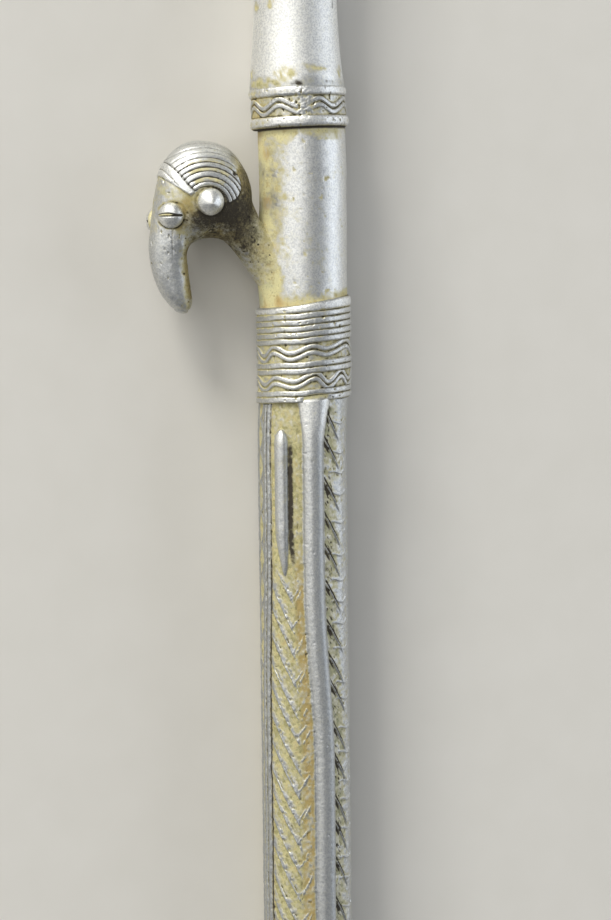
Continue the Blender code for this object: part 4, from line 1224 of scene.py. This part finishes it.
# The colours that the coats start from, and the coats laid on in turn: which colour each changes, the value
# that says how far, and the colour that it goes to
GROUNDS = {"bright": "AFB1B1", "thin": "CFCAB6", "ochre": "948E5E"}
COATS = (
    # The white of rubbed metal is partly polish and partly painted light.
    ("bright", "shined_and_lit", "F1F1EE"),
    ("bright", "dimpled", "8E9296"),
    ("thin", "streaked", "BDB792"),
    ("ochre", "pale", "CBC597"),
    ("ochre", "browned", "9C8A50"),
    ("ochre", "handled", "E4DCA8"),
    ("ochre", "reddened", "B4945A"),
    ("ochre", "spotted", "A48D58"),
    ("ochre", "crumbled", "5F5638"),
    ("ochre", "green", "9AA088"),
    ("bright", "film", "thin"),
    ("bright", "crust", "ochre"),
    # The near-black coat: dark dirt together with painted shade.
    ("bright", "black_dirt_and_shade", "352F24"),
)
ROUGHEST = 0.88
BUMP_DEPTH = 0.00012


def make_metal():
    """Aluminium, cast over wax, filed and handled for years: bright on its high parts and dull between.

    The eye sees a soft white sheen with faint blotches and pits, near-black dirt in the narrow grooves and
    matt ochre earth, patchy at its edges, over the low ground. The near-black also carries painted shade, and
    the white of the high parts is partly painted light.
    """
    metal, tree, place = new_material("handled_cast_aluminium_with_earth")
    values = {}
    for name in FINISH:
        values[name] = add(tree, "ShaderNodeAttribute", attribute_name=name).outputs["Fac"]
    for name, size_mm, detail in GRAINS:
        inputs = {"Vector": place, "Scale": 1000.0 / size_mm, "Detail": detail, "Roughness": 0.6}
        values[name] = add(tree, "ShaderNodeTexNoise", inputs).outputs["Fac"]
    for kind, name, source, *rest in WORKED:
        if kind == "sum":
            inputs = {0: values[rest[0]], 1: rest[1], 2: values[source]}
            values[name] = add(tree, "ShaderNodeMath", inputs, operation="MULTIPLY_ADD").outputs[0]
        else:
            inputs = dict(zip(("Value", "From Min", "From Max", "To Min", "To Max"), (values[source], *rest)))
            curve = add(tree, "ShaderNodeMapRange", inputs, interpolation_type="SMOOTHSTEP")
            values[name] = curve.outputs["Result"]
    colours = {name: linear(ground) for name, ground in GROUNDS.items()}
    for name, how_far, coat in COATS:
        coat = colours[coat] if coat in colours else linear(coat)
        inputs = {FACTOR: values[how_far], FIRST: colours[name], SECOND: coat}
        colours[name] = add(tree, "ShaderNodeMix", inputs, data_type="RGBA").outputs[MIXED]
    metallic = add(tree, "ShaderNodeMath", {0: 1.0, 1: values["dull"]}, operation="SUBTRACT")
    roughness = add(tree, "ShaderNodeMath", {0: values["roughness"], 1: ROUGHEST}, operation="MINIMUM")
    bump = add(tree, "ShaderNodeBump", {"Height": values["relief"], "Strength": 0.55, "Distance": BUMP_DEPTH})
    inputs = {
        "Base Color": colours["bright"],
        "Metallic": metallic.outputs[0],
        "Roughness": roughness.outputs[0],
        "Normal": bump.outputs["Normal"],
    }
    shader = add(tree, "ShaderNodeBsdfPrincipled", inputs)
    add(tree, "ShaderNodeOutputMaterial", {"Surface": shader.outputs[0]})
    return metal


BOARD_CLOUD_MM = 50.0 / 3.0


def make_floor_finish():
    """Pale matt studio board, sprayed evenly: the eye sees one plain warm grey, faintly clouded."""
    board, tree, place = new_material("pale_studio_board")
    inputs = {"Vector": place, "Scale": 1000.0 / BOARD_CLOUD_MM, "Detail": 2.0}
    cloud = add(tree, "ShaderNodeTexNoise", inputs).outputs["Fac"]
    inputs = {FACTOR: cloud, FIRST: linear("D6D3CC"), SECOND: linear("DCD9D3")}
    colour = add(tree, "ShaderNodeMix", inputs, data_type="RGBA").outputs[MIXED]
    shader = add(tree, "ShaderNodeBsdfPrincipled", {"Base Color": colour, "Roughness": 0.9})
    add(tree, "ShaderNodeOutputMaterial", {"Surface": shader.outputs[0]})
    return board


# Stage: the floor, the camera and the lights

CAMERA_TILT = math.radians(16.45)
IMAGE_TILT = math.radians(0.69)
CAMERA_DISTANCE = 0.80
AIM_S = 0.2372
CAMERA_S = 0.1750
AIM_ASIDE = 0.00095
LENS_MM = 97.8
FLOOR_HALF = 3.0
FLOOR_GAP = 0.00005
# Each light: degrees right of and above the camera's line as seen from the staff, distance, width and
# height in metres, radiance and colour
SOFTBOXES = {
    "left_wall": (-54, 11, 3.4, 2.15, 3.40, 1.08, "FFFDF8"),
    "over_middle": (-13, 15, 2.2, 1.66, 1.92, 1.45, "FFFEFB"),
    "right_wall": (85, 9, 3.4, 2.41, 3.40, 1.70, "EEF5FF"),
    "key_above": (-34, 54, 9.0, 2.84, 2.84, 28.0, "FFFDF6"),
}
SKY_COLOUR = "D4D7DA"
SKY_STRENGTH = 0.34

TOWARD = Vector((0.0, -math.sin(CAMERA_TILT), math.cos(CAMERA_TILT)))
IMAGE_RIGHT = Vector((0.0, math.cos(CAMERA_TILT), math.sin(CAMERA_TILT)))
IMAGE_UP = Vector((-1.0, 0.0, 0.0))


def standing(place, right, up, back):
    """The matrix that stands an object at a place with its x, y and z axes along these directions."""
    turned = Matrix((right, up, back)).transposed().to_4x4()
    return Matrix.Translation(place) @ turned


def make_floor():
    """A plain square board, a hair under the staff so that the two faces don't fight."""
    mesh = bpy.data.meshes.new("floor")
    sides = ((-1, -1), (1, -1), (1, 1), (-1, 1))
    mesh.from_pydata([(FLOOR_HALF * x, FLOOR_HALF * y, -FLOOR_GAP) for x, y in sides], [], [(0, 1, 2, 3)])
    floor = add_object("floor", mesh)
    mesh.materials.append(make_floor_finish())


def make_camera():
    """The camera above the lying staff, leaning to the beak's side, its top towards the staff's top end."""
    axis_point = Vector((CAD_BOX[0][0] + AIM_S, AXIS_Y, AXIS_Z))
    target = axis_point + IMAGE_RIGHT * AIM_ASIDE
    place = target + TOWARD * CAMERA_DISTANCE + IMAGE_UP * (AIM_S - CAMERA_S)
    back = (place - target).normalized()
    up = (IMAGE_UP - back * IMAGE_UP.dot(back)).normalized()
    right = up.cross(back)
    leaned_up = up * math.cos(IMAGE_TILT) + right * math.sin(IMAGE_TILT)
    leaned_right = right * math.cos(IMAGE_TILT) - up * math.sin(IMAGE_TILT)
    camera = add_object("camera", bpy.data.cameras.new("camera"))
    camera.data.sensor_width = 36.0
    camera.data.lens = LENS_MM
    camera.data.clip_start = 0.01
    camera.matrix_world = standing(place, leaned_right, leaned_up, back)
    bpy.context.scene.camera = camera
    return target


def softbox(name, target, rightward, upward, distance, wide, tall, radiance, colour):
    """A soft light seen from the target at these angles from the camera's line, facing the target."""
    turn = math.radians(rightward)
    lift = math.radians(upward)
    level = IMAGE_RIGHT * math.sin(turn) + TOWARD * math.cos(turn)
    way = level * math.cos(lift) + IMAGE_UP * math.sin(lift)
    lamp = bpy.data.lights.new(name, "AREA")
    lamp.shape = "RECTANGLE"
    lamp.size = wide
    lamp.size_y = tall
    lamp.energy = radiance * math.pi * wide * tall
    lamp.color = linear(colour)[:3]
    up = (IMAGE_UP - way * IMAGE_UP.dot(way)).normalized()
    add_object(name, lamp).matrix_world = standing(target + way * distance, up.cross(way), up, way)


def make_lights(target):
    """Three broad soft lights low round the staff, a stronger one high up and a faint even sky."""
    for name, light in SOFTBOXES.items():
        softbox(name, target, *light)
    world = bpy.data.worlds.new("studio")
    bpy.context.scene.world = world
    world.use_nodes = True
    sky = world.node_tree.nodes["Background"]
    sky.inputs["Color"].default_value = linear(SKY_COLOUR)
    sky.inputs["Strength"].default_value = SKY_STRENGTH


def build():
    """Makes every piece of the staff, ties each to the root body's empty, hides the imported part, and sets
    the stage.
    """
    metal = make_metal()
    pieces = [make_top_tube()]
    pieces.append(make_beaded_collar(
        "upper_collar", UPPER_COLLAR_START, UPPER_COLLAR_LENGTH, UPPER_COLLAR_SLANT,
        rows=96, upper=205, under=90, waved=True, seed=1,
    ))
    pieces.append(make_stem())
    pieces.append(make_lower_collar())
    pieces += make_shaft()
    pieces.append(make_beaded_collar(
        "foot_collar", FOOT_COLLAR_START, FOOT_COLLAR_LENGTH, 0.0,
        rows=40, upper=60, under=40, waved=False, seed=5,
    ))
    pieces.append(make_foot())
    head, head_grid = make_head()
    pieces.append(head)
    pieces += make_bosses(head_grid)
    for piece in pieces:
        piece.data.materials.append(metal)
        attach(piece, "root")
        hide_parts("staff")
    make_floor()
    make_lights(make_camera())
    bpy.context.scene.view_settings.view_transform = "Standard"


build()
